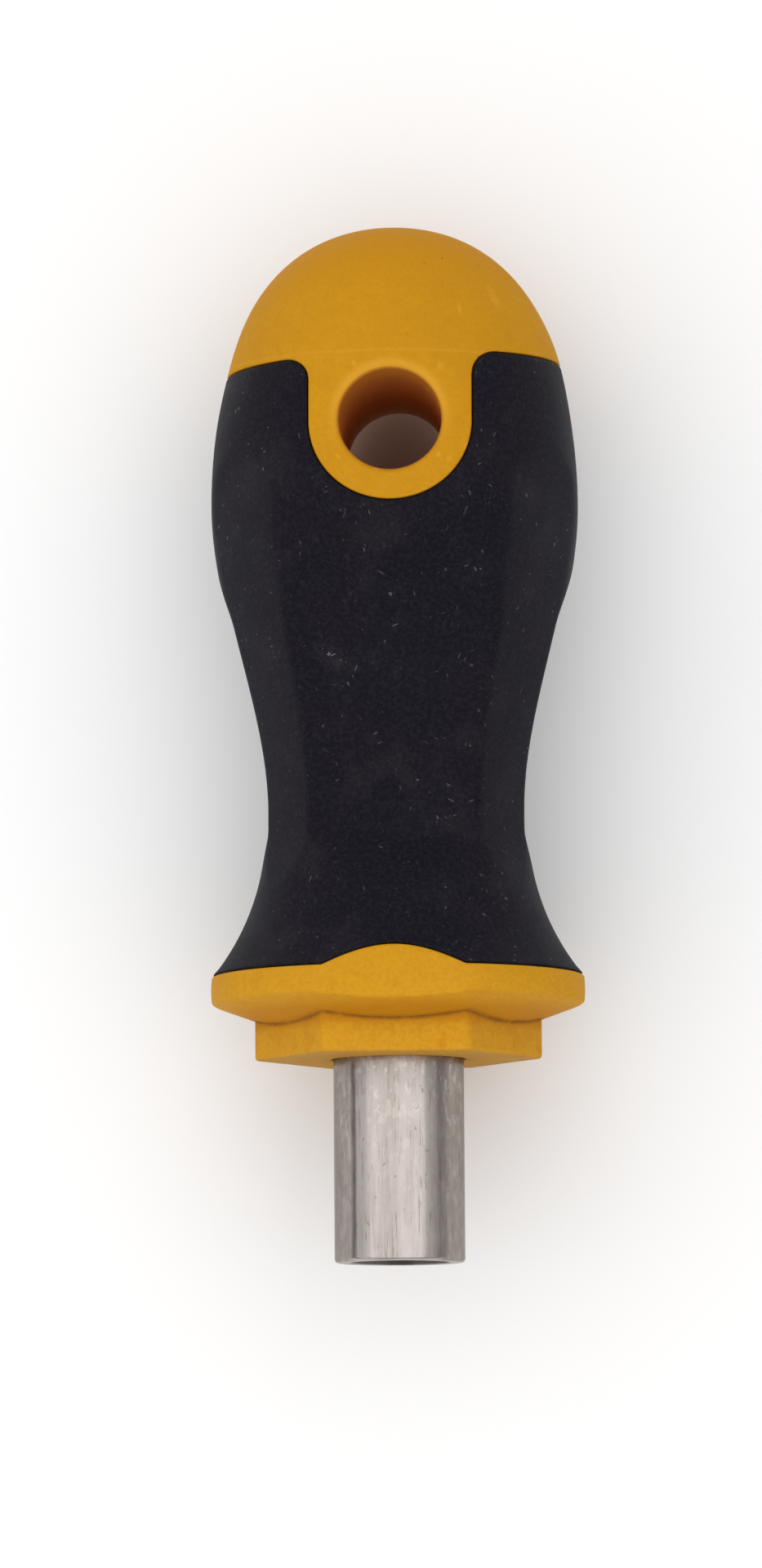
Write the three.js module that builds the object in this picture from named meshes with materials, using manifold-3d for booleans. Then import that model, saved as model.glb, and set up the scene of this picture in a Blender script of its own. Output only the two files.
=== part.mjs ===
// A stubby screwdriver that holds quarter-inch hexagon bits: a hard plastic handle core with a
// hanging hole, a flange and a hexagon collar, a soft grip round its waist, and a steel sleeve
// with a magnet behind its socket. Lengths are millimetres. Each piece is built along +Z, nose
// down, with the front of the tool facing -Y, and the whole is then laid on its side.
import * as THREE from 'three';
import { mergeVertices } from 'three/addons/utils/BufferGeometryUtils.js';
import Module from 'manifold-3d';

const wasm = await Module();
wasm.setup();

// Steel sleeve and its hexagon socket
const sleeveDiameter = 10.4;
const sleeveReach = 16.16; // from the collar to the nose
const sleeveSeatDepth = 8.8; // the part hidden in the collar
const sleeveNoseChamfer = 0.35;
const sleeveTailChamfer = 0.3;
const socketAcrossFlats = 6.4;
const socketDepth = 12;
const mouthDiameter = 8.05;

// Retaining ring in the socket, an open loop of round wire
const ringWireDiameter = 0.7;
const ringInnerDiameter = 6.8;
const ringFromNose = 3.6;
const ringOpening = THREE.MathUtils.degToRad(40);

// Magnet that closes the socket
const magnetDiameter = 6;
const magnetThickness = 3;
const magnetEdgeChamfer = 0.25;

// Shank bar inside the handle, with two flattened wings that stop it from turning
const shankLength = 32.6;
const shankTailChamfer = 0.5;
const wingSpan = 10.4;
const wingThickness = 1.5;
const wingLength = 8;
const wingSlope = 1.6;
const wingFromTail = 2.4;

// Hexagon collar
const collarAcrossFlats = 20;
const collarCornerRound = 0.5;
const collarEdgeRound = 0.25;

// Flange between the collar and the grip
const flangeSetback = 4.12; // from the collar's front face to the rim
const flangeRimRadius = 14.84;
const flangeRimHeight = 2.48;
const flangeRimBulge = 0.08;
const flangeRimRound = 0.45;
const flangeUndersideAngle = THREE.MathUtils.degToRad(20);
const flangeFlatDepth = 1.18; // of each of the three flats, below the rim

// Outline of the handle above the flange, from the flare over the waist to the dome
const flareLength = 12.2;
const waistRadius = 10.48;
const waistLength = 0.94;
const swellLength = 24.65;
const bellyDrop = 0.14; // of the belly below the flange's rim
const shoulderLength = 10.79;
const shoulderDrop = 1.33; // from the belly down to the edge of the dome
const domeHeight = 11.66;

// Flat facets round the handle: three wide ones and three narrow ones between them
const wideHalfAngle = THREE.MathUtils.degToRad(40);
const narrowHalfAngle = THREE.MathUtils.degToRad(20);
const facetFoot = 7.4; // from the flange to where every facet starts
const facetFootFade = 2.9;
const wideFacetTop = 11.8; // from the dome down to where a wide facet has died out
const wideFacetFade = 9;
const narrowFacetTop = 6.6;
const narrowFacetFade = 3.4;
const facetCrownShare = 0.22; // of the round envelope that a facet keeps: 0 would be flat

// Soft grip
const gripWall = 2.2;

// Lug that carries the hanging hole through the grip
const lugHalfWidth = 6.55;
const lugFillet = 1.9;
const holeDiameter = 8.1;
const holeFromDome = 5.69;
const holeRimFillet = 0.7;

// Clearances, and how far cutting bodies run past what they cut
const seamGap = 0.2;
const fitGap = 0.2;
const cutOverrun = 2;

// How finely the curved faces are divided
const handleSides = 72;
const sleeveSides = 48;
const holeSides = 40;
const smallSides = 24;
const domeSteps = 9;
const filletSteps = 3;
const archSteps = 7;
const ringSteps = 24;
const wireSides = 4; // on each half of the round section

// Heights along the tool's axis, from the nose upwards
const collarFront = sleeveReach;
const rimFront = collarFront + flangeSetback;
const gripStart = rimFront + flangeRimHeight;
const waistStart = gripStart + flareLength;
const waistEnd = waistStart + waistLength;
const bellyHeight = waistEnd + swellLength;
const gripEnd = bellyHeight + shoulderLength;
const domeTop = gripEnd + domeHeight;
const facetStart = gripStart + facetFoot;
const facetFull = facetStart + facetFootFade;
const wideFacetEnd = gripEnd - wideFacetTop;
const wideFacetFull = wideFacetEnd - wideFacetFade;
const narrowFacetEnd = gripEnd - narrowFacetTop;
const narrowFacetFull = narrowFacetEnd - narrowFacetFade;
const holeHeight = gripEnd - holeFromDome;
const sleeveTail = collarFront + sleeveSeatDepth;
const magnetBack = socketDepth + magnetThickness;
const shankStart = magnetBack + fitGap;
const shankEnd = shankStart + shankLength;

// Radii and distances that follow from the sizes above
const bellyRadius = flangeRimRadius - bellyDrop;
const shoulderRadius = bellyRadius - shoulderDrop;
const flangeFlatDistance = flangeRimRadius - flangeFlatDepth;
const socketApothem = socketAcrossFlats / 2;
const shankApothem = socketApothem - fitGap;

// Radius of the arc through a flare or crown of this length that is this deep at its end
function arcRadius(length, depth) {
  return (length ** 2 + depth ** 2) / (2 * depth);
}

// How far that arc has left its tangent at a distance along it
function arcDepth(radius, distance) {
  return radius - Math.sqrt(radius ** 2 - distance ** 2);
}

// Radius of the handle's round envelope at a height between the flange and the dome
function envelopeRadius(height) {
  if (height < waistStart) {
    const flare = arcRadius(flareLength, flangeRimRadius - waistRadius);
    return waistRadius + arcDepth(flare, waistStart - height);
  }
  if (height < bellyHeight) {
    const rise = THREE.MathUtils.smoothstep(height, waistEnd, bellyHeight);
    return THREE.MathUtils.lerp(waistRadius, bellyRadius, rise);
  }
  const crown = arcRadius(shoulderLength, shoulderDrop);
  return bellyRadius - arcDepth(crown, height - bellyHeight);
}

// Distance from the axis to a facet, as a share of the envelope's radius: the cosine of the
// half angle along the facet, growing to the full radius where the facet dies out
function facetShare(height, halfAngle, full, end) {
  const foot = 1 - THREE.MathUtils.smoothstep(height, facetStart, facetFull);
  const head = THREE.MathUtils.smoothstep(height, full, end);
  return THREE.MathUtils.lerp(Math.cos(halfAngle), 1, Math.max(foot, head));
}

// How far the facets lie inside the envelope at an angle from the front of the tool
function facetSink(angle, height) {
  const third = (2 * Math.PI) / 3;
  const fromWide = angle - third * Math.round(angle / third);
  const fromNarrow = Math.abs(fromWide) - third / 2;
  const onWide = Math.abs(fromWide) <= wideHalfAngle;
  const share = onWide
    ? facetShare(height, wideHalfAngle, wideFacetFull, wideFacetEnd)
    : facetShare(height, narrowHalfAngle, narrowFacetFull, narrowFacetEnd);
  const reach = share / Math.cos(onWide ? fromWide : fromNarrow);
  return envelopeRadius(height) * (1 - facetCrownShare) * (1 - Math.min(1, reach));
}

// Distance from the tool's mid plane to its front or back surface at a place across and up
function faceDistance(across, height, behind) {
  let distance = envelopeRadius(height);
  for (let pass = 0; pass < 4; pass++) {
    const angle = Math.atan2(across, behind ? -distance : distance);
    const radius = envelopeRadius(height) - facetSink(angle, height);
    distance = Math.sqrt(radius ** 2 - across ** 2);
  }
  return distance;
}

function toSolid(geometry) {
  const bare = geometry.clone();
  bare.deleteAttribute('normal');
  bare.deleteAttribute('uv');
  const welded = mergeVertices(bare);
  const vertProperties = new Float32Array(welded.attributes.position.array);
  const triVerts = new Uint32Array(welded.index.array);
  return new wasm.Manifold(new wasm.Mesh({ numProp: 3, vertProperties, triVerts }));
}

function toGeometry(solid) {
  const mesh = solid.getMesh();
  const geometry = new THREE.BufferGeometry();
  geometry.setAttribute('position', new THREE.BufferAttribute(mesh.vertProperties, mesh.numProp));
  geometry.setIndex(new THREE.BufferAttribute(mesh.triVerts, 1));
  geometry.computeVertexNormals();
  return geometry;
}

// A round body turned about Z from [radius, height] pairs that run up from the axis and back to it
function turned(outline, sides) {
  const points = outline.map(([radius, height]) => new THREE.Vector2(radius, height));
  return new THREE.LatheGeometry(points, sides).rotateX(Math.PI / 2);
}

// A prism that stands on a horizontal outline between two heights
function standing(shape, bottom, top) {
  const prism = new THREE.ExtrudeGeometry(shape, { depth: top - bottom, bevelEnabled: false });
  return prism.translate(0, 0, bottom);
}

// A prism whose outline is seen from the front, pushed from one distance in front of the axis
// to another; a negative distance lies behind the axis
function facing(shape, from, to) {
  const prism = new THREE.ExtrudeGeometry(shape, { depth: to - from, bevelEnabled: false });
  return prism.rotateX(Math.PI / 2).translate(0, -from, 0);
}

function hexagon(apothem) {
  const shape = new THREE.Shape();
  const corner = apothem / Math.cos(Math.PI / 6);
  for (let i = 0; i < 6; i++) {
    const angle = (i * Math.PI) / 3;
    shape[i ? 'lineTo' : 'moveTo'](corner * Math.cos(angle), corner * Math.sin(angle));
  }
  shape.closePath();
  return shape;
}

// A hexagon whose corners are drawn round
function roundedHexagon(apothem, round) {
  const shape = new THREE.Shape();
  const corner = apothem / Math.cos(Math.PI / 6);
  for (let i = 0; i < 6; i++) {
    const [before, at, after] = [i - 1, i, i + 1].map((k) => {
      const angle = (k * Math.PI) / 3;
      return new THREE.Vector2(corner * Math.cos(angle), corner * Math.sin(angle));
    });
    const entry = at.clone().sub(before).setLength(-round).add(at);
    const exit = after.clone().sub(at).setLength(round).add(at);
    shape[i ? 'lineTo' : 'moveTo'](entry.x, entry.y);
    shape.quadraticCurveTo(at.x, at.y, exit.x, exit.y);
  }
  shape.closePath();
  return shape;
}

// Turns a piece that stands in front of the axis to each of the three flats
function onEachFlat(geometry) {
  const third = (2 * Math.PI) / 3;
  const turns = [0, 1, 2].map((i) => toSolid(geometry.clone().rotateZ(i * third)));
  return wasm.Manifold.union(turns);
}

function steps(from, to, count) {
  return Array.from({ length: count }, (_, i) => from + ((to - from) * i) / count);
}

// Heights of the rings along the grip, closer where a facet starts or dies out, from the
// number of steps in each stretch
function ringHeights([flare, foot, waist, body, fade, head, shoulder]) {
  return [
    ...steps(gripStart, facetStart, flare),
    ...steps(facetStart, facetFull, foot),
    ...steps(facetFull, waistEnd, waist),
    ...steps(waistEnd, wideFacetFull, body),
    ...steps(wideFacetFull, narrowFacetFull, fade),
    ...steps(narrowFacetFull, narrowFacetEnd, head),
    ...steps(narrowFacetEnd, gripEnd, shoulder),
    gripEnd,
  ];
}

// Presses the facets into a turned handle body
function pressFacets(geometry) {
  const place = geometry.attributes.position;
  for (let i = 0; i < place.count; i++) {
    const [x, y, z] = [place.getX(i), place.getY(i), place.getZ(i)];
    const radius = Math.hypot(x, y);
    if (radius > 0 && z > gripStart && z < gripEnd) {
      const scale = 1 - facetSink(Math.atan2(x, -y), z) / radius;
      place.setXY(i, x * scale, y * scale);
    }
  }
  return geometry;
}

function domeOutline() {
  const radius = arcRadius(shoulderRadius, domeHeight);
  const base = Math.asin(Math.min(1, shoulderRadius / radius));
  const start = domeHeight > radius ? Math.PI - base : base;
  return steps(start, 0, domeSteps)
    .slice(1)
    .map((angle) => [radius * Math.sin(angle), domeTop - radius + radius * Math.cos(angle)]);
}

function rimOutline() {
  const round = flangeRimRound;
  const middle = rimFront + flangeRimHeight / 2;
  return [
    [flangeRimRadius - round, rimFront - (round * Math.tan(flangeUndersideAngle)) / 2],
    [flangeRimRadius - round * (1 - Math.SQRT1_2), rimFront + round * (1 - Math.SQRT1_2)],
    [flangeRimRadius, rimFront + round],
    [flangeRimRadius + flangeRimBulge, middle],
  ];
}

// The handle's whole outer form above the collar, as if it were moulded in one piece
function handleEnvelope() {
  const root = (collarFront + rimFront) / 2;
  const rootRadius = flangeRimRadius - (rimFront - root) / Math.tan(flangeUndersideAngle);
  const rings = ringHeights([5, 3, 1, 5, 5, 3, 3]);
  const outline = [
    [0, root],
    [rootRadius, root],
    ...rimOutline(),
    ...rings.map((height) => [envelopeRadius(height), height]),
    ...domeOutline(),
    [0, domeTop],
  ];
  return toSolid(pressFacets(turned(outline, handleSides)));
}

// The core's form under the grip, which lies a wall's thickness inside the envelope
function coreUnderGrip(inset) {
  const rings = ringHeights([2, 1, 1, 2, 2, 1, 1]);
  const outline = [
    [0, gripStart - flangeRimHeight / 2],
    [flangeRimRadius - inset, gripStart - flangeRimHeight / 2],
    ...rings.map((height) => [envelopeRadius(height) - inset, height]),
    [shoulderRadius - inset, gripEnd + gripWall],
    [0, gripEnd + gripWall],
  ];
  return toSolid(pressFacets(turned(outline, handleSides)));
}

function slab(bottom, top) {
  const reach = bellyRadius + flangeRimRadius;
  return toSolid(new THREE.BoxGeometry(2 * reach, 2 * reach, top - bottom)
    .translate(0, 0, (bottom + top) / 2));
}

// Front outline of the lug: straight sides over a round end, with fillets into the dome
function lugShape(spread) {
  const half = lugHalfWidth + spread;
  const fillet = lugFillet - spread;
  const shape = new THREE.Shape();
  const edge = gripEnd - spread;
  const top = gripEnd + gripWall;
  shape.moveTo(half + fillet, top);
  shape.lineTo(-half - fillet, top);
  shape.lineTo(-half - fillet, edge);
  shape.absarc(-half - fillet, edge - fillet, fillet, Math.PI / 2, 0, true);
  shape.absarc(0, holeHeight, half, Math.PI, 2 * Math.PI, false);
  shape.absarc(half + fillet, edge - fillet, fillet, Math.PI, Math.PI / 2, true);
  shape.closePath();
  return shape;
}

function lug(spread) {
  const reach = bellyRadius + cutOverrun;
  return toSolid(facing(lugShape(spread), -reach, reach));
}

// Front outline of a flat above the flange: the arch along which its plane leaves the flare
function archShape(spread) {
  const flare = arcRadius(flareLength, flangeRimRadius - waistRadius);
  const drop = flare - (flangeFlatDistance - waistRadius);
  const apex = waistStart - Math.sqrt(flare ** 2 - drop ** 2);
  const foot = gripStart - flangeRimHeight / 2;
  const halfWidth = (height) => {
    return Math.sqrt(Math.max(0, envelopeRadius(height) ** 2 - flangeFlatDistance ** 2));
  };
  const widen = 1 + spread / halfWidth(gripStart);
  const side = steps(1, 0, archSteps).map((share) => {
    const height = apex - (apex - gripStart) * share ** 2;
    const raised = height + spread * (1 - share);
    return new THREE.Vector2(halfWidth(height) * widen, raised);
  });
  const mirrored = side.map((point) => new THREE.Vector2(-point.x, point.y)).reverse();
  const crown = new THREE.Vector2(0, apex + spread);
  const feet = [new THREE.Vector2(-side[0].x, foot), new THREE.Vector2(side[0].x, foot)];
  return new THREE.Shape([...side, crown, ...mirrored, ...feet]);
}

// The pads that carry the flats up through the grip
function pads(spread, outward) {
  const inner = waistRadius - gripWall;
  return onEachFlat(facing(archShape(spread), inner, flangeFlatDistance + outward));
}

// Cuts the flange off along its three flats
function flatCutters() {
  const width = 2 * flangeRimRadius;
  const depth = flangeRimRadius;
  const bottom = collarFront;
  const box = new THREE.BoxGeometry(width, depth, gripStart + cutOverrun - bottom);
  box.translate(0, -flangeFlatDistance - depth / 2, (gripStart + cutOverrun + bottom) / 2);
  return onEachFlat(box);
}

// The hanging hole, whose rounded rims follow the handle's front and back surfaces
function hangingHole() {
  const radius = holeDiameter / 2;
  const fillet = steps(0, Math.PI / 2, filletSteps).concat(Math.PI / 2).map((angle) => ({
    radius: radius + holeRimFillet * (1 - Math.cos(angle)),
    depth: holeRimFillet * (1 - Math.sin(angle)),
  }));
  const rim = [...fillet, { radius: radius + holeRimFillet, depth: -cutOverrun }];
  const axis = { radius: 0, depth: -cutOverrun };
  const back = [axis, ...rim.toReversed()];
  const front = [...rim, axis];
  const points = [...back, ...front];
  const outline = points.map((point, i) => new THREE.Vector2(point.radius, i));
  const hole = new THREE.LatheGeometry(outline, holeSides);
  const place = hole.attributes.position;
  for (let i = 0; i < place.count; i++) {
    const row = i % points.length;
    const behind = row < back.length;
    const [x, z] = [place.getX(i), place.getZ(i) + holeHeight];
    const level = points[row].radius ? faceDistance(x, z, behind) : bellyRadius;
    const distance = level - points[row].depth;
    place.setXYZ(i, x, behind ? distance : -distance, z);
  }
  hole.index.array.reverse();
  return toSolid(hole);
}

function collar() {
  const height = rimFront + flangeRimHeight / 2 - collarFront;
  const prism = new THREE.ExtrudeGeometry(roundedHexagon(collarAcrossFlats / 2, collarCornerRound), {
    depth: height - 2 * collarEdgeRound,
    bevelThickness: collarEdgeRound,
    bevelSize: collarEdgeRound,
    bevelOffset: -collarEdgeRound,
    bevelSegments: 2,
    curveSegments: 3,
  });
  return toSolid(prism.translate(0, 0, collarFront + collarEdgeRound));
}

// Outline of the two wings, seen along their thickness
function wingShape(spread) {
  const half = wingSpan / 2 + spread;
  const top = shankEnd - wingFromTail + spread;
  const bottom = shankEnd - wingFromTail - wingLength - spread;
  const side = (sign) => [
    new THREE.Vector2(0, sign > 0 ? bottom : top),
    new THREE.Vector2(sign * (half - wingSlope), sign > 0 ? bottom : top),
    new THREE.Vector2(sign * half, sign > 0 ? bottom + wingSlope : top - wingSlope),
    new THREE.Vector2(sign * half, sign > 0 ? top - wingSlope : bottom + wingSlope),
    new THREE.Vector2(sign * (half - wingSlope), sign > 0 ? top : bottom),
  ];
  return new THREE.Shape([...side(1), ...side(-1)]);
}

function wings(spread) {
  const half = wingThickness / 2 + spread;
  return toSolid(facing(wingShape(spread), -half, half));
}

// The seat moulded round the sleeve, the shank and its wings
function coreSeat() {
  const sleeveRadius = sleeveDiameter / 2 + fitGap;
  const bore = turned([
    [0, collarFront - cutOverrun],
    [sleeveRadius, collarFront - cutOverrun],
    [sleeveRadius, sleeveTail + fitGap],
    [0, sleeveTail + fitGap],
  ], sleeveSides);
  const bar = standing(hexagon(shankApothem + fitGap), collarFront, shankEnd + fitGap);
  return toSolid(bore).add(toSolid(bar)).add(wings(fitGap));
}

function handleCore() {
  const envelope = handleEnvelope();
  const flange = envelope.intersect(slab(collarFront, gripStart));
  const dome = envelope.intersect(slab(gripEnd, domeTop + cutOverrun));
  const carrier = envelope.intersect(lug(0));
  return flange.subtract(flatCutters())
    .add(collar())
    .add(coreUnderGrip(gripWall))
    .add(pads(0, 0))
    .add(carrier)
    .add(dome)
    .subtract(hangingHole())
    .subtract(coreSeat());
}

function softGrip() {
  const shell = handleEnvelope().intersect(slab(gripStart + seamGap, gripEnd - seamGap));
  return shell.subtract(coreUnderGrip(gripWall - seamGap))
    .subtract(lug(seamGap))
    .subtract(pads(seamGap, cutOverrun));
}

function bitSleeve() {
  const radius = sleeveDiameter / 2;
  const mouth = mouthDiameter / 2;
  const body = turned([
    [0, 0],
    [radius - sleeveNoseChamfer, 0],
    [radius, sleeveNoseChamfer],
    [radius, sleeveTail - sleeveTailChamfer],
    [radius - sleeveTailChamfer, sleeveTail],
    [0, sleeveTail],
  ], sleeveSides);
  const leadIn = turned([
    [0, -cutOverrun],
    [mouth + cutOverrun, -cutOverrun],
    [0, mouth],
  ], sleeveSides);
  const grooveRadius = ringInnerDiameter / 2 + ringWireDiameter + fitGap;
  const grooveHalf = ringWireDiameter / 2 + fitGap;
  const groove = turned([
    [0, ringFromNose - grooveHalf],
    [grooveRadius, ringFromNose - grooveHalf],
    [grooveRadius, ringFromNose + grooveHalf],
    [0, ringFromNose + grooveHalf],
  ], sleeveSides);
  const socket = standing(hexagon(socketApothem), -cutOverrun, sleeveTail + cutOverrun);
  return toSolid(body)
    .subtract(toSolid(leadIn))
    .subtract(toSolid(socket))
    .subtract(toSolid(groove));
}

// The path of the retaining ring's wire, open towards the front
class RingPath extends THREE.Curve {
  getPoint(share, target = new THREE.Vector3()) {
    const radius = (ringInnerDiameter + ringWireDiameter) / 2;
    const angle = ringOpening / 2 + share * (2 * Math.PI - ringOpening);
    return target.set(radius * Math.sin(angle), -radius * Math.cos(angle), ringFromNose);
  }
}

function retainingRing() {
  const section = new THREE.Shape();
  section.absarc(0, 0, ringWireDiameter / 2, 0, 2 * Math.PI, false);
  return toSolid(new THREE.ExtrudeGeometry(section, {
    steps: ringSteps,
    extrudePath: new RingPath(),
    curveSegments: wireSides,
  }));
}

function socketMagnet() {
  const radius = magnetDiameter / 2;
  return toSolid(turned([
    [0, socketDepth],
    [radius - magnetEdgeChamfer, socketDepth],
    [radius, socketDepth + magnetEdgeChamfer],
    [radius, magnetBack - magnetEdgeChamfer],
    [radius - magnetEdgeChamfer, magnetBack],
    [0, magnetBack],
  ], smallSides));
}

function hexShank() {
  const bar = toSolid(standing(hexagon(shankApothem), shankStart, shankEnd));
  const corner = shankApothem / Math.cos(Math.PI / 6);
  const taper = toSolid(turned([
    [0, shankStart - cutOverrun],
    [corner + cutOverrun, shankStart - cutOverrun],
    [corner + cutOverrun, shankEnd - shankTailChamfer - cutOverrun],
    [corner - shankTailChamfer, shankEnd],
    [0, shankEnd],
  ], smallSides));
  return bar.intersect(taper).add(wings(0));
}

function piece(name, solid, color, roughness, metalness) {
  const material = new THREE.MeshStandardMaterial({ color, roughness, metalness });
  const mesh = new THREE.Mesh(toGeometry(solid), material);
  mesh.name = name;
  return mesh;
}

const group = new THREE.Group();
group.name = 'stubby_bit_screwdriver';
group.add(
  piece('handle_core', handleCore(), '#d0951f', 0.45, 0),
  piece('soft_grip', softGrip(), '#25232a', 0.85, 0),
  piece('bit_sleeve', bitSleeve(), '#b9afa9', 0.38, 1),
  piece('retaining_ring', retainingRing(), '#8f8a86', 0.35, 1),
  piece('socket_magnet', socketMagnet(), '#a7a9ad', 0.3, 1),
  piece('hex_shank', hexShank(), '#8d8985', 0.4, 1),
);

// The tool lies on its side along Y with its nose towards -Y and its front facing up, its
// flange resting on the ground and the middle of its length over the origin
group.rotation.x = -Math.PI / 2;
group.position.set(0, -domeTop / 2, flangeRimRadius + flangeRimBulge);

export default group;
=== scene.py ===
"""Stubby bit screwdriver, dressed on its CAD frame.

A hard yellow handle core with a hanging hole, a soft black grip round its waist, and a steel
sleeve with its retaining ring, magnet and shank. Sizes in the classes are millimetres, except
where the studio says otherwise. Places on the tool are given by the angle round its axis from
the front, the height from the nose, and the distances across and in front of the axis.
"""

import logging
import math
from dataclasses import dataclass
from enum import Enum
from typing import NamedTuple

import bmesh
import bpy
import numpy as np
from mathutils import Matrix, Vector


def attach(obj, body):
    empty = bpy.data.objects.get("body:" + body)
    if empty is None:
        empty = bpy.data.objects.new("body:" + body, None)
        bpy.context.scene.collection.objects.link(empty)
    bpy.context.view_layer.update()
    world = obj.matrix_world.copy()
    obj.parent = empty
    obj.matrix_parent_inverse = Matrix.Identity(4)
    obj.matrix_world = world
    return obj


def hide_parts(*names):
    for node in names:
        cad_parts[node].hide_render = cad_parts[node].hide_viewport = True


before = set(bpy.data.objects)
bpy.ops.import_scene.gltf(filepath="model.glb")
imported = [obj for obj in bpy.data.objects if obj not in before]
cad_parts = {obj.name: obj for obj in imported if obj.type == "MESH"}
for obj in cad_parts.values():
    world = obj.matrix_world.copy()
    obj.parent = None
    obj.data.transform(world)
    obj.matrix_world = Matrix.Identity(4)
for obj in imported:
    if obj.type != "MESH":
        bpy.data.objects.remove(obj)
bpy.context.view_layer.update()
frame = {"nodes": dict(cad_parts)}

LOG = logging.getLogger("stubby_bit_screwdriver")

Array = np.ndarray
Color = tuple[float, float, float]

MM = 0.001
FULL_TURN = 2 * math.pi
QUARTER_TURN = math.pi / 2
THIRD_TURN = FULL_TURN / 3
SIXTH_TURN = FULL_TURN / 6
WELD = 1e-6
RING_WELD = 1e-3
SMOOTH_ANGLE = 50
SHADER_PLACE = (3600, 0)


class Side(Enum):
    """Which of the two broad sides of the lug a surface lies on."""

    FRONT = 1
    BACK = -1


def smoothstep(value: Array, low: float, high: float) -> Array:
    """Rises smoothly from 0 at low to 1 at high."""
    share = np.clip((value - low) / (high - low), 0.0, 1.0)
    return share * share * (3 - 2 * share)


def soft_min(first: Array, second: Array, blend: float) -> Array:
    """The smaller of two lengths, with the crossing between them rounded over blend."""
    share = np.clip(0.5 + 0.5 * (second - first) / blend, 0.0, 1.0)
    return second * (1 - share) + first * share - blend * share * (1 - share)


def soft_max(first: Array, second: Array, blend: float) -> Array:
    """The larger of two lengths, with the crossing between them rounded over blend."""
    return -soft_min(-first, -second, blend)


def arc_radius(length: float, depth: float) -> float:
    """Radius of the arc that leaves its tangent by depth over length."""
    return (length**2 + depth**2) / (2 * depth)


def arc_depth(radius: float, distance: Array) -> Array:
    """How far the arc has left its tangent at a distance along it."""
    return radius - np.sqrt(radius**2 - np.square(distance))


def from_nearest(angle: Array, step: float) -> Array:
    """Signed angle from the nearest whole multiple of step."""
    return angle - step * np.round(angle / step)


def edge_round(radius: float, steps: int) -> list[tuple[float, float]]:
    """A quarter round between a surface and a wall that drops from it.

    Args:
        radius: radius of the round.
        steps: number of rows across it.

    Returns:
        Pairs of the distance from the wall and the depth under the surface, surface first.
    """
    turns = np.linspace(0, QUARTER_TURN, steps + 1)
    return [(radius * (1 - math.sin(t)), radius * (1 - math.cos(t))) for t in turns]


@dataclass(frozen=True)
class Resting:
    """How the tool lies in the row frame: on its side, nose towards -Y, front up."""

    axis_height: float = 14.92
    half_length: float = 41.5
    seam_height: float = 71.34
    seam_lean: float = 0.03
    lean_reach: float = 3.5

    def points(self, across: Array, front: Array, height: Array) -> Array:
        """Row-frame points in metres.

        Args:
            across: distances to the right of the axis.
            front: distances in front of the axis.
            height: heights from the nose, which rise a little to the right round the upper seam.

        Returns:
            An array of points with x, y and z last.
        """
        across, front, height = np.broadcast_arrays(across, front, height)
        near_seam = np.exp(-np.square((height - self.seam_height) / self.lean_reach))
        height = height + self.seam_lean * across * near_seam
        places = [across, height - self.half_length, self.axis_height + front]
        return np.stack(places, axis=-1) * MM


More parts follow.
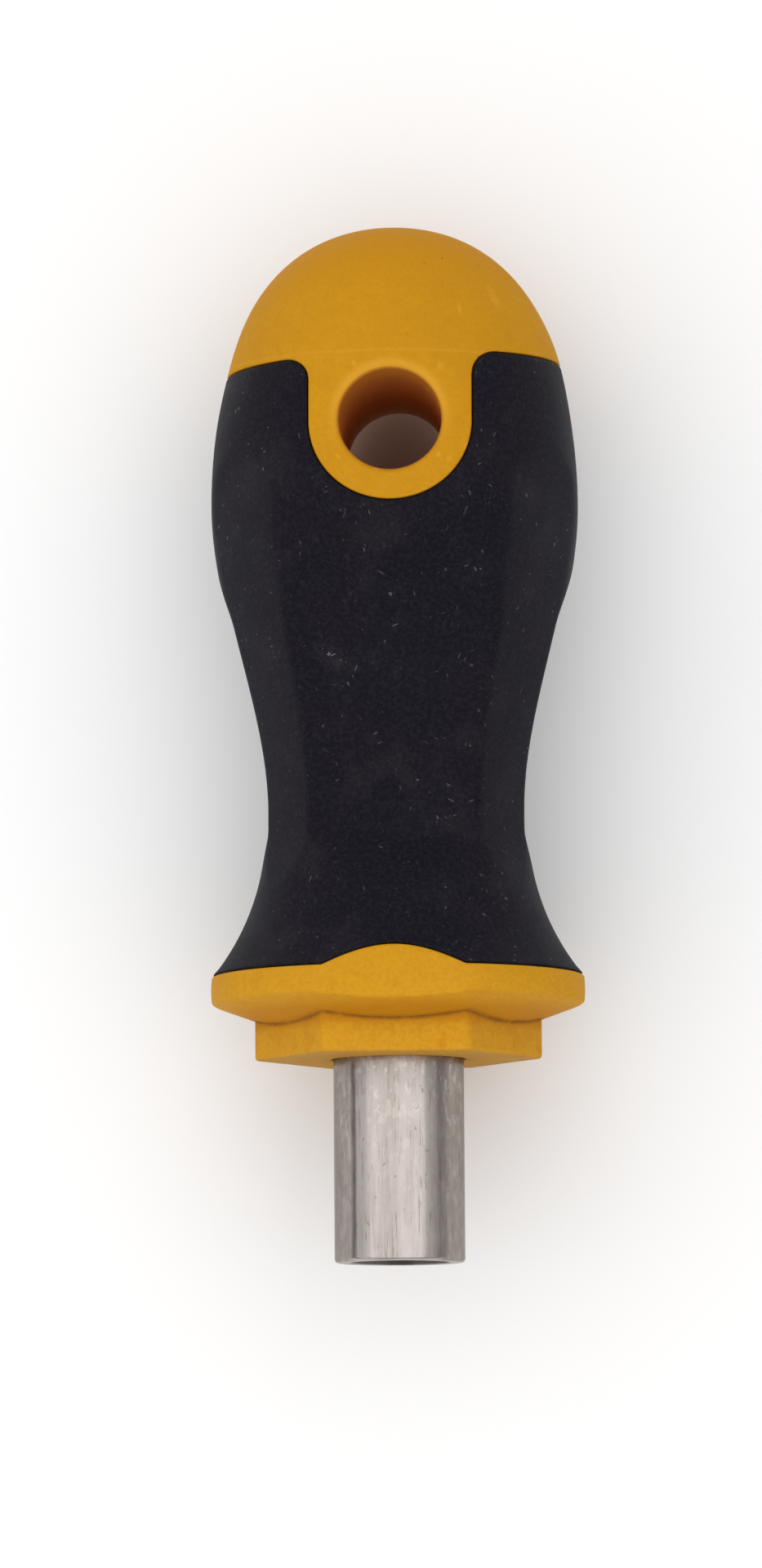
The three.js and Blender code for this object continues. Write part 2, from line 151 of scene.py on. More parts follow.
@dataclass(frozen=True)
class HandleForm:
    """The handle's whole outer form, which the core and the grip share."""

    rim_front: float = 20.6
    grip_start: float = 22.76
    rim_radius: float = 14.84
    rim_bulge: float = 0.07
    rim_blend: float = 0.55
    underside_slope: float = math.tan(math.radians(20))
    flat_distance: float = 13.66
    flat_blend: float = 0.3
    arch_blend: float = 0.12
    waist_start: float = 34.96
    waist_end: float = 35.9
    waist_radius: float = 10.48
    belly_height: float = 60.55
    belly_radius: float = 14.68
    grip_end: float = 71.34
    shoulder_radius: float = 13.37
    dome_top: float = 83.0
    dome_rise: float = 8.8
    dome_crown: float = 5.8
    facet_start: float = 28.9
    facet_full: float = 34.3
    wide_half: float = math.radians(40)
    wide_full: float = 50.54
    wide_end: float = 59.54
    narrow_half: float = math.radians(20)
    narrow_full: float = 61.34
    narrow_end: float = 64.74
    crown_share: float = 0.22
    ridge_blur: float = math.radians(3.2)
    ridge_weights: tuple[int, ...] = (1, 2, 3, 4, 3, 2, 1)
    lug_half: float = 6.44
    lug_fillet: float = 1.9
    hole_height: float = 65.85
    hole_radius: float = 4.05
    hole_rim: float = 0.6
    foot_steps: int = 200
    dome_steps: int = 1200
    table_steps: int = 600
    face_passes: int = 4

    def dome_profile(self, share: Array) -> tuple[Array, Array]:
        """Radius and height along the dome, from the grip's end at 0 to the top at 1.

        Args:
            share: shares of the way along the dome.

        Returns:
            The radii and the heights.
        """
        crown_length = self.grip_end - self.belly_height
        crown = arc_radius(crown_length, self.belly_radius - self.shoulder_radius)
        lean = crown_length / crown
        rise = self.dome_rise
        radii = [self.shoulder_radius, self.shoulder_radius - rise * lean, self.dome_crown, 0.0]
        lift = rise * math.sqrt(1 - lean**2)
        heights = [self.grip_end, self.grip_end + lift, self.dome_top, self.dome_top]
        rest = 1 - share
        weights = [rest**3, 3 * rest**2 * share, 3 * rest * share**2, share**3]
        radius = sum(w * r for w, r in zip(weights, radii))
        height = sum(w * h for w, h in zip(weights, heights))
        return radius, height

    def envelope(self, height: Array) -> Array:
        """Radius of the round form at a height above the flange, the dome included.

        Args:
            height: heights from the nose.

        Returns:
            The radii.
        """
        height = np.asarray(height, float)
        flare_length = self.waist_start - self.grip_start
        flare = arc_radius(flare_length, self.rim_radius - self.waist_radius)
        below = np.clip(self.waist_start - height, 0, flare_length + 1)
        low = self.waist_radius + arc_depth(flare, below)
        rise = smoothstep(height, self.waist_end, self.belly_height)
        middle = self.waist_radius + (self.belly_radius - self.waist_radius) * rise
        crown_length = self.grip_end - self.belly_height
        crown = arc_radius(crown_length, self.belly_radius - self.shoulder_radius)
        above = np.clip(height - self.belly_height, 0, crown_length)
        high = self.belly_radius - arc_depth(crown, above)
        dome_radius, dome_height = self.dome_profile(np.linspace(0, 1, self.table_steps))
        dome = np.interp(height, dome_height, dome_radius)
        upper = np.where(height < self.belly_height, middle, high)
        body = np.where(height < self.waist_start, low, upper)
        return np.where(height > self.grip_end, dome, body)

    def facet_share(self, height: Array, half: float, full: float, end: float) -> Array:
        """Distance from the axis to a facet as a share of the envelope's radius.

        Args:
            height: heights from the nose.
            half: half the angle that the facet spans.
            full: height above which the facet runs out.
            end: height at which it has run out.

        Returns:
            The shares, which are 1 where the form is round.
        """
        foot = 1 - smoothstep(height, self.facet_start, self.facet_full)
        head = smoothstep(height, full, end)
        return math.cos(half) + (1 - math.cos(half)) * np.maximum(foot, head)

    def sharp_sink(self, angle: Array, height: Array) -> Array:
        """How far the facets lie inside the envelope, with sharp ridges between them.

        Args:
            angle: angles round the axis, from the front.
            height: heights from the nose.

        Returns:
            The depths under the envelope.
        """
        from_wide = from_nearest(angle, THIRD_TURN)
        from_narrow = np.abs(from_wide) - THIRD_TURN / 2
        on_wide = np.abs(from_wide) <= self.wide_half
        wide = self.facet_share(height, self.wide_half, self.wide_full, self.wide_end)
        narrow = self.facet_share(height, self.narrow_half, self.narrow_full, self.narrow_end)
        reach = np.where(on_wide, wide / np.cos(from_wide), narrow / np.cos(from_narrow))
        return self.envelope(height) * (1 - self.crown_share) * (1 - np.minimum(1, reach))

    def facet_sink(self, angle: Array, height: Array) -> Array:
        """How far the facets lie inside the envelope, with the ridges worn soft.

        Args:
            angle: angles round the axis, from the front.
            height: heights from the nose.

        Returns:
            The depths under the envelope.
        """
        weights = np.array(self.ridge_weights) / sum(self.ridge_weights)
        shifts = np.linspace(-self.ridge_blur, self.ridge_blur, len(weights))
        return sum(w * self.sharp_sink(angle + s, height) for w, s in zip(weights, shifts))

    def radius(self, angle: Array, height: Array) -> Array:
        """Radius of the grip, lug and dome at an angle from the front and a height."""
        return self.envelope(height) - self.facet_sink(angle, height)

    def meridian(self, low: float) -> tuple[Array, Array, Array]:
        """The round outline from a height to the top of the dome.

        Args:
            low: height of its lower end.

        Returns:
            Distances along the outline, with the radii and heights that belong to them.
        """
        foot = np.linspace(low, self.grip_end, self.foot_steps, endpoint=False)
        radius, height = self.dome_profile(np.linspace(0, 1, self.dome_steps))
        radius = np.concatenate([self.envelope(foot), radius])
        height = np.concatenate([foot, height])
        steps = np.hypot(np.diff(radius), np.diff(height))
        return np.concatenate([[0.0], np.cumsum(steps)]), radius, height

    def face_distance(self, across: Array, height: Array) -> Array:
        """Distance from the mid plane to the front surface at a place across and up.

        Args:
            across: distances to the right of the axis.
            height: heights from the nose.

        Returns:
            The distances.
        """
        distance = self.envelope(height)
        for _ in range(self.face_passes):
            radius = self.radius(np.arctan2(across, distance), height)
            distance = np.sqrt(np.square(radius) - np.square(across))
        return distance

    def flat_radius(self, angle: Array) -> Array:
        """Radius at which the three flats of the flange lie at an angle."""
        return self.flat_distance / np.cos(from_nearest(angle, THIRD_TURN))

    def lower_radius(self, angle: Array, height: Array) -> Array:
        """Radius of the flange and its pads, from the cone below the rim to the seam.

        Args:
            angle: angles round the axis, from the front.
            height: heights from the nose.

        Returns:
            The radii.
        """
        middle = (self.rim_front + self.grip_start) / 2
        half = (self.grip_start - self.rim_front) / 2
        bulge = self.rim_bulge * (1 - np.clip(np.square((height - middle) / half), 0, 1))
        cone = self.rim_radius + (height - self.rim_front) / self.underside_slope
        rim = soft_min(cone, self.rim_radius + bulge, self.rim_blend)
        body = np.where(height < self.grip_start, rim, self.envelope(height))
        return soft_min(body, self.flat_radius(angle), self.flat_blend)

    def seam_foot(self, angle: Array) -> Array:
        """Height of the lower seam, which rises in an arch over each flat.

        Args:
            angle: angles round the axis, from the front.

        Returns:
            The heights, from the nose.
        """
        flare = arc_radius(self.waist_start - self.grip_start, self.rim_radius - self.waist_radius)
        target = np.minimum(self.flat_radius(angle), self.rim_radius)
        drop = flare - (target - self.waist_radius)
        arch = self.waist_start - np.sqrt(flare**2 - np.square(drop))
        return soft_max(arch, np.full_like(arch, self.grip_start), self.arch_blend)


@dataclass(frozen=True)
class Loop:
    """One closed row of places on the tool."""

    across: Array
    front: Array
    height: Array

    @staticmethod
    def polar(angle: Array, radius: Array, height: Array) -> "Loop":
        """A row from angles round the axis, radii and heights."""
        angle, radius, height = np.broadcast_arrays(angle, radius, height)
        return Loop(radius * np.sin(angle), radius * np.cos(angle), height)

    @property
    def angle(self) -> Array:
        """Angles round the axis from the front, from 0 to a full turn."""
        return np.mod(np.arctan2(self.across, self.front), FULL_TURN)

    def points(self, resting: Resting) -> Array:
        """The row's points in the row frame, in metres."""
        return resting.points(self.across, self.front, self.height)


@dataclass(frozen=True)
class SeamLoops:
    """Rows that follow the upper seam, round the dome's foot and both sides of the lug.

    The fields after the form are numbers of columns along each stretch of a quarter.
    """

    form: HandleForm
    bottom: int = 36
    side: int = 14
    fillet: int = 12
    shoulder: int = 44
    crown: int = 34
    arch_rise: float = 3.2
    arch_turn: float = math.radians(30)
    fillet_spacing: float = 0.7

    @property
    def lug_foot(self) -> int:
        """Columns along a quarter's stretch of the lug, up to its fillet."""
        return self.bottom + self.side

    @property
    def columns(self) -> int:
        """Columns round the whole tool."""
        return 4 * (self.lug_foot + self.fillet + self.shoulder)

    @property
    def angles(self) -> Array:
        """Even angles of the columns at the foot of the handle."""
        return np.arange(self.columns) * FULL_TURN / self.columns

    def fillet_end(self, height: float) -> float:
        """Angle at which the lug's fillet meets the row round the dome's foot."""
        across = self.form.lug_half + self.form.lug_fillet
        return math.asin(across / float(self.form.envelope(height)))

    def lug_quarter(self, spread: float) -> tuple[Array, Array]:
        """Distances across and heights along a quarter of the lug's outline.

        Args:
            spread: how far outside the lug the row runs.

        Returns:
            The places from the lug's lowest point to the end of its fillet.
        """
        form = self.form
        half = form.lug_half + spread
        down = np.linspace(0, QUARTER_TURN, self.bottom, endpoint=False)
        foot = form.grip_end - form.lug_fillet
        side = np.linspace(form.hole_height, foot, self.side, endpoint=False)
        turn = math.pi - QUARTER_TURN * np.linspace(0, 1, self.fillet + 1) ** self.fillet_spacing
        round_ = form.lug_fillet - spread
        middle = form.lug_half + form.lug_fillet
        across = [half * np.sin(down), np.full(self.side, half), middle + round_ * np.cos(turn)]
        height = [form.hole_height - half * np.cos(down), side, foot + round_ * np.sin(turn)]
        return np.concatenate(across), np.concatenate(height)

    def arch_quarter(self, spread: float) -> tuple[Array, Array]:
        """Half of the arch over the hole, on the dome, between the feet of the two fillets.

        Args:
            spread: how far outside the lug its foot stands.

        Returns:
            Distances across and heights, from the arch's top to the lug's side.
        """
        turn = np.linspace(QUARTER_TURN, self.arch_turn, self.crown + 1)
        foot = self.form.grip_end - self.form.lug_fillet
        across = (self.form.lug_half + spread) * np.cos(turn) / math.cos(self.arch_turn)
        rise = (np.sin(turn) - math.sin(self.arch_turn)) / (1 - math.sin(self.arch_turn))
        return across, foot + self.arch_rise * rise

    def completed(self, across: Array, height: Array, spread: float, depth: float) -> Loop:
        """The row round the whole tool whose front stretch is given.

        Args:
            across: distances across of the front stretch, up to the fillet's end.
            height: heights of the front stretch.
            spread: distance of the rest from the seam, positive on the grip's side.
            depth: depth under the surface.

        Returns:
            The row, with the stretch round the dome's foot added and mirrored.
        """
        form = self.form
        front = form.face_distance(across, height) - depth
        level = form.grip_end - spread
        angle = np.linspace(self.fillet_end(level), QUARTER_TURN, self.shoulder + 1)[1:]
        radius = form.radius(angle, np.full_like(angle, level)) - depth
        across = np.concatenate([across, radius * np.sin(angle)])
        front = np.concatenate([front, radius * np.cos(angle)])
        height = np.concatenate([height, np.full_like(angle, level)])
        return Loop(
            mirrored_round(across, 1, -1),
            mirrored_round(front, -1, 1),
            mirrored_round(height, 1, 1),
        )

    def loop(self, spread: float, depth: float) -> Loop:
        """The row at a distance outside the seam and a depth under the surface.

        Args:
            spread: distance from the seam, positive on the grip's side.
            depth: depth under the surface.

        Returns:
            The row round the whole tool.
        """
        return self.completed(*self.lug_quarter(spread), spread, depth)

    def dome_foot(self, spread: float) -> Loop:
        """The dome's lowest row: over the hole, along the fillets and round the seam.

        Args:
            spread: distance from the seam, positive on the grip's side.

        Returns:
            The row.
        """
        arch_across, arch_height = self.arch_quarter(spread)
        lug_across, lug_height = self.lug_quarter(spread)
        across = np.concatenate([arch_across, lug_across[self.lug_foot + 1:]])
        height = np.concatenate([arch_height, lug_height[self.lug_foot + 1:]])
        return self.completed(across, height, spread, 0)

    def hole_border(self, spread: float) -> tuple[Array, Array]:
        """Distances across and heights of the lug's outline, closed by the arch over the hole.

        Args:
            spread: distance from the seam, positive on the grip's side.

        Returns:
            The two, once round the hole from the lug's lowest point.
        """
        arch_across, arch_height = self.arch_quarter(spread)
        lug_across, lug_height = self.lug_quarter(spread)
        across = np.concatenate([lug_across[:self.lug_foot], arch_across[::-1]])
        height = np.concatenate([lug_height[:self.lug_foot], arch_height[::-1]])
        return np.concatenate([across, -across[-2:0:-1]]), np.concatenate([height, height[-2:0:-1]])


def mirrored_round(quarter: Array, back: int, left: int) -> Array:
    """Completes a quarter of a row to the whole row.

    Args:
        quarter: values from the front to the side, both ends included.
        back: sign of the values behind the axis.
        left: sign of the values left of the axis.

    Returns:
        The values round the whole tool, starting at the front.
    """
    right_back = back * quarter[-2::-1]
    left_back = back * left * quarter[1:]
    left_front = left * quarter[-2:0:-1]
    return np.concatenate([quarter, right_back, left_back, left_front])


def clear_selection() -> None:
    """Leaves object mode with nothing selected or active."""
    if bpy.context.object and bpy.context.object.mode != "OBJECT":
        bpy.ops.object.mode_set(mode="OBJECT")
    bpy.ops.object.select_all(action="DESELECT")
    bpy.context.view_layer.objects.active = None


def activate(piece: bpy.types.Object) -> None:
    """Makes a piece the only selected and the active object.

    Args:
        piece: the piece.
    """
    clear_selection()
    piece.select_set(True)
    bpy.context.view_layer.objects.active = piece


def apply_modifiers(piece: bpy.types.Object) -> None:
    """Applies all modifiers of a piece in their order.

    Args:
        piece: the piece.
    """
    activate(piece)
    for modifier in list(piece.modifiers):
        bpy.ops.object.modifier_apply(modifier=modifier.name)


def read_points(piece: bpy.types.Object) -> Array:
    """Coordinates of a piece's vertices.

    Args:
        piece: the piece.

    Returns:
        One row of x, y and z for each vertex.
    """
    flat = np.empty(len(piece.data.vertices) * 3)
    piece.data.vertices.foreach_get("co", flat)
    return flat.reshape(-1, 3)


def write_points(piece: bpy.types.Object, points: Array) -> None:
    """Moves a piece's vertices to these coordinates."""
    piece.data.vertices.foreach_set("co", points.ravel())
    piece.data.update()


def weld(piece: bpy.types.Object, distance: float = WELD) -> None:
    """Merges the vertices of a piece that lie in one place.

    Args:
        piece: the piece.
        distance: how near to each other two vertices have to lie.
    """
    activate(piece)
    bpy.ops.object.mode_set(mode="EDIT")
    bpy.ops.mesh.select_all(action="SELECT")
    bpy.ops.mesh.remove_doubles(threshold=distance)
    bpy.ops.object.mode_set(mode="OBJECT")


def smooth_by_angle(piece: bpy.types.Object, degrees: float) -> None:
    """Shades a piece smooth except over edges sharper than an angle."""
    activate(piece)
    bpy.ops.object.shade_smooth_by_angle(angle=math.radians(degrees))


def straight_tube(name: str, columns: int, rows: int) -> bpy.types.Object:
    """A plain open tube of even rings, from one extruded circle repeated by an array.

    Args:
        name: name of the tube.
        columns: vertices in each ring, a multiple of four.
        rows: steps between rings.

    Returns:
        The tube, one unit wide and one unit high for each row, facing outwards.
    """
    clear_selection()
    bpy.ops.mesh.primitive_circle_add(vertices=columns, radius=1.0, fill_type="NOTHING")
    tube = bpy.context.object
    tube.name = name
    tube.data.name = name
    bpy.ops.object.mode_set(mode="EDIT")
    bpy.ops.mesh.select_all(action="SELECT")
    bpy.ops.mesh.extrude_region_move(TRANSFORM_OT_translate={"value": (0, 0, 1)})
    bpy.ops.mesh.select_all(action="SELECT")
    bpy.ops.mesh.normals_make_consistent(inside=False)
    bpy.ops.object.mode_set(mode="OBJECT")
    stack = tube.modifiers.new("rings", "ARRAY")
    stack.count = rows
    stack.use_relative_offset = False
    stack.use_constant_offset = True
    stack.constant_offset_displace = (0, 0, 1)
    stack.use_merge_vertices = True
    stack.merge_threshold = RING_WELD
    apply_modifiers(tube)
    face = tube.data.polygons[0]
    if face.normal.dot(Vector((face.center.x, face.center.y, 0))) < 0:
        bpy.ops.object.mode_set(mode="EDIT")
        bpy.ops.mesh.select_all(action="SELECT")
        bpy.ops.mesh.flip_normals()
        bpy.ops.object.mode_set(mode="OBJECT")
    return tube


def formed_tube(name: str, rings: list[Array]) -> bpy.types.Object:
    """A tube whose rings are drawn out to the given rows of points.

    Args:
        name: name of the piece.
        rings: one array of points for each ring, in metres.

    Returns:
        The piece, with rings and poles that coincide merged.
    """
    grid = np.stack(rings)
    columns = grid.shape[1]
    tube = straight_tube(name, columns, len(rings) - 1)
    plain = read_points(tube)
    turn = np.arctan2(plain[:, 1], plain[:, 0]) / FULL_TURN
    column = np.rint(turn * columns).astype(int) % columns
    row = np.rint(plain[:, 2]).astype(int)
    write_points(tube, grid[row, column])
    weld(tube)
    return tube


def joined(name: str, parts: list[bpy.types.Object]) -> bpy.types.Object:
    """Joins parts whose borders meet into one closed piece.

    Args:
        name: name of the piece.
        parts: the parts, of which the first takes in the others.

    Returns:
        The piece.
    """
    clear_selection()
    for part in parts:
        part.select_set(True)
    bpy.context.view_layer.objects.active = parts[0]
    bpy.ops.object.join()
    piece = bpy.context.object
    piece.name = name
    piece.data.name = name
    weld(piece)
    return piece


def open_edges(piece: bpy.types.Object) -> int:
    """Number of edges of a piece that don't lie between exactly two faces.

    Args:
        piece: the piece.

    Returns:
        The number, which is 0 for a closed piece.
    """
    mesh = bmesh.new()
    mesh.from_mesh(piece.data)
    count = sum(len(edge.link_faces) != 2 for edge in mesh.edges)
    mesh.free()
    return count


def between(first: Loop, last: Loop, shares: Array) -> list[Loop]:
    """Rows at shares of the straight way from one row to another.

    Args:
        first: the row at share 0.
        last: the row at share 1, with as many places.
        shares: the shares.

    Returns:
        One row for each share.
    """
    rows = []
    for share in shares:
        across = first.across + (last.across - first.across) * share
        front = first.front + (last.front - first.front) * share
        height = first.height + (last.height - first.height) * share
        rows.append(Loop(across, front, height))
    return rows


class Channel(Enum):
    """Which random colour of a cell decides whether it holds a speck."""

    RED = "Red"
    GREEN = "Green"
    BLUE = "Blue"


class Ramp(NamedTuple):
    """A range that a value comes from, and the values that its two ends are carried to."""

    low: float
    high: float
    start: float = 0.0
    end: float = 1.0


class Bend(NamedTuple):
    """How a pattern is bent by soft noise: the noise's scale, and how far it moves the pattern."""

    scale: float
    amount: float


class Noise(NamedTuple):
    """Soft noise: cells for each millimetre, its detail, and how it runs along the tool."""

    scale: float
    detail: float = 3.0
    roughness: float = 0.55
    along: float = 1.0
    bend: Bend | None = None


class Specks(NamedTuple):
    """Scattered specks: cells for each millimetre, the share that holds one, and their radii."""

    scale: float
    share: float
    small: float
    large: float
    channel: Channel
    bend: Bend
    along: float = 1.0


class Hairs(NamedTuple):
    """Short fibres that lie one way: their angle in degrees and how the cells are stretched."""

    channel: Channel
    degrees: float
    stretch: tuple[float, float, float]


@dataclass
class NodeSheet:
    """A node tree being filled, with short ways to add and link its nodes."""

    tree: bpy.types.NodeTree
    column: int = 0
    spacing: int = 180

    def add(self, kind: str, **values: object) -> bpy.types.Node:
        """Adds a node and sets its properties.

        Args:
            kind: type name of the node.
            values: properties of the node by name.

        Returns:
            The new node.
        """
        node = self.tree.nodes.new(kind)
        node.location = (self.column * self.spacing, 0)
        self.column += 1
        for name, value in values.items():
            setattr(node, name, value)
        return node

    def put(self, socket: bpy.types.NodeSocket, source: object) -> None:
        """Feeds a socket from another socket, or sets it to a value.

        Args:
            socket: the socket to feed.
            source: the other socket, or the value.
        """
        if isinstance(source, bpy.types.NodeSocket):
            self.tree.links.new(source, socket)
        else:
            socket.default_value = source

    def math(self, operation: str, *values: object) -> bpy.types.NodeSocket:
        """The result of a sum of one, two or three values.

        Args:
            operation: which sum it is.
            values: sockets or numbers.

        Returns:
            The result.
        """
        node = self.add("ShaderNodeMath", operation=operation)
        for socket, value in zip(node.inputs, values):
            self.put(socket, value)
        return node.outputs[0]

    def plus(self, first: object, second: object) -> bpy.types.NodeSocket:
        """Two values added."""
        return self.math("ADD", first, second)

    def times(self, first: object, second: object) -> bpy.types.NodeSocket:
        """Two values multiplied."""
        return self.math("MULTIPLY", first, second)

    def apart(self, first: object, second: object) -> bpy.types.NodeSocket:
        """How far apart two values are."""
        return self.math("ABSOLUTE", self.math("SUBTRACT", first, second))

    def length(self, first: object, second: object) -> bpy.types.NodeSocket:
        """The length of the slant over two distances square to each other."""
        squares = self.plus(self.math("POWER", first, 2.0), self.math("POWER", second, 2.0))
        return self.math("SQRT", squares)

    def ramp(self, value: object, low: object, high: object, start: object = 0.0, end: object = 1.0
             ) -> bpy.types.NodeSocket:
        """A value carried smoothly from one range to another.

        Args:
            value: the value.
            low: where the first range starts.
            high: where the first range ends.
            start: result at low.
            end: result at high.

        Returns:
            The result, which stays within its range.
        """
        node = self.add("ShaderNodeMapRange", interpolation_type="SMOOTHSTEP")
        names = ("Value", "From Min", "From Max", "To Min", "To Max")
        for name, source in zip(names, (value, low, high, start, end)):
            self.put(node.inputs[name], source)
        return node.outputs["Result"]

    def blend(self, share: object, first: object, second: object) -> bpy.types.NodeSocket:
        """A colour between two colours.

        Args:
            share: share of the second colour.
            first: a socket or a colour.
            second: a socket or a colour.

        Returns:
            The colour between them.
        """
        node = self.add("ShaderNodeMix", data_type="RGBA")
        self.put(node.inputs["Factor"], share)
        for name, source in (("A", first), ("B", second)):
            socket = [s for s in node.inputs if s.name == name and s.type == "RGBA"][0]
            self.put(socket, (*source, 1.0) if isinstance(source, tuple) else source)
        return [s for s in node.outputs if s.type == "RGBA"][0]

    def places(self, stretch: tuple[float, float, float], turn: float = 0.0) -> bpy.types.NodeSocket:
        """Object coordinates in millimetres.

        Args:
            stretch: what each axis is multiplied by.
            turn: angle by which they are turned first, round the upright axis.

        Returns:
            The coordinates.
        """
        source = self.add("ShaderNodeTexCoord")
        turned = self.add("ShaderNodeVectorRotate", rotation_type="Z_AXIS")
        self.put(turned.inputs["Vector"], source.outputs["Object"])
        turned.inputs["Angle"].default_value = turn
        mapping = self.add("ShaderNodeMapping")
        self.put(mapping.inputs["Vector"], turned.outputs["Vector"])
        mapping.inputs["Scale"].default_value = tuple(s / MM for s in stretch)
        return mapping.outputs["Vector"]

    def axes(self, vector: object) -> bpy.types.Node:
        """The node that gives the coordinates X, Y and Z of a vector.

        Args:
            vector: the socket that gives the vector.

        Returns:
            The node, with one output for each axis.
        """
        node = self.add("ShaderNodeSeparateXYZ")
        self.put(node.inputs["Vector"], vector)
        return node

    def bent(self, vector: object, bend: Bend) -> bpy.types.NodeSocket:
        """A vector bent by soft noise.

        Args:
            vector: the socket that gives the vector.
            bend: how fine the noise is and how far it bends.

        Returns:
            The bent vector.
        """
        noise = self.add("ShaderNodeTexNoise")
        self.put(noise.inputs["Vector"], vector)
        noise.inputs["Scale"].default_value = bend.scale
        moved = self.add("ShaderNodeVectorMath", operation="MULTIPLY_ADD")
        self.put(moved.inputs[0], noise.outputs["Color"])
        moved.inputs[1].default_value = (bend.amount, bend.amount, bend.amount)
        self.put(moved.inputs[2], vector)
        return moved.outputs["Vector"]

    def noise(self, noise: Noise, scale: object = None) -> bpy.types.NodeSocket:
        """Soft noise from 0 to 1 over the surface.

        Args:
            noise: what the noise is like.
            scale: the socket that gives the scale, where it isn't the noise's own.

        Returns:
            The noise.
        """
        places = self.places((1, noise.along, 1))
        if noise.bend:
            places = self.bent(places, noise.bend)
        node = self.add("ShaderNodeTexNoise")
        self.put(node.inputs["Vector"], places)
        self.put(node.inputs["Scale"], noise.scale if scale is None else scale)
        node.inputs["Detail"].default_value = noise.detail
        node.inputs["Roughness"].default_value = noise.roughness
        return node.outputs["Fac"]

    def scattered(self, vector: object, scale: float, share: object, radii: tuple[float, float],
                  channel: Channel) -> bpy.types.NodeSocket:
        """A mask of specks at random places.

        Args:
            vector: the vector on which the specks lie.
            scale: cells for each unit of the vector.
            share: share of the cells that hold a speck.
            radii: radii of the smallest and the largest speck, in cells.
            channel: which random colour of a cell chooses it.

        Returns:
            The mask, 1 on a speck.
        """
        cells = self.add("ShaderNodeTexVoronoi")
        self.put(cells.inputs["Vector"], vector)
        self.put(cells.inputs["Scale"], scale)
        tint = self.add("ShaderNodeSeparateColor")
        self.put(tint.inputs["Color"], cells.outputs["Color"])
        drawn = tint.outputs[channel.value]
        reach = self.ramp(self.math("DIVIDE", drawn, share), 0, 1, radii[1], radii[0])
        within = self.math("LESS_THAN", cells.outputs["Distance"], reach)
        return self.times(self.math("LESS_THAN", drawn, share), within)

    def specks(self, specks: Specks) -> bpy.types.NodeSocket:
        """A mask of the given specks over the surface.

        Args:
            specks: what the specks are like.

        Returns:
            The mask, 1 on a speck.
        """
        places = self.bent(self.places((1, specks.along, 1)), specks.bend)
        radii = (specks.small, specks.large)
        return self.scattered(places, specks.scale, specks.share, radii, specks.channel)

    def group(self, tree: bpy.types.NodeTree, **values: object) -> bpy.types.Node:
        """Places a shared node group with its own values.

        Args:
            tree: the group.
            values: sockets or numbers for its inputs, by name.

        Returns:
            The node that stands for the group.
        """
        node = self.add("ShaderNodeGroup", node_tree=tree)
        for name, value in values.items():
            self.put(node.inputs[name.title()], value)
        return node

    def relief(self, shader: bpy.types.Node, height: object, strength: float, depth: float) -> None:
        """Gives a shader fine relief, whose depth is in millimetres.

        Args:
            shader: the shader.
            height: height of the relief, as a share of its depth.
            strength: how strongly it shows.
            depth: depth of the relief.
        """
        bump = self.add("ShaderNodeBump")
        bump.inputs["Strength"].default_value = strength
        bump.inputs["Distance"].default_value = depth * MM
        self.put(bump.inputs["Height"], height)
        self.put(shader.inputs["Normal"], bump.outputs["Normal"])


@dataclass
class Paint:
    """A colour that is built up in layers over a surface."""

    sheet: NodeSheet
    color: object

    def layer(self, share: object, tint: object) -> None:
        """Lays a tint over the colour, as strongly as its share says."""
        self.color = self.sheet.blend(share, self.color, tint)


def shared_group(name: str, inputs: dict[str, float], outputs: list[str]
                 ) -> tuple[NodeSheet, bpy.types.Node, bpy.types.Node]:
    """Starts a shared node group.

    Args:
        name: name of the group.
        inputs: names of its number inputs with their first values.
        outputs: names of its number outputs.

    Returns:
        The sheet of the group, and its input and output nodes.
    """
    tree = bpy.data.node_groups.new(name, "ShaderNodeTree")
    kind = "NodeSocketFloat"
    for label, value in inputs.items():
        socket = tree.interface.new_socket(name=label, in_out="INPUT", socket_type=kind)
        socket.default_value = value
    for label in outputs:
        tree.interface.new_socket(name=label, in_out="OUTPUT", socket_type=kind)
    sheet = NodeSheet(tree)
    return sheet, sheet.add("NodeGroupInput"), sheet.add("NodeGroupOutput")


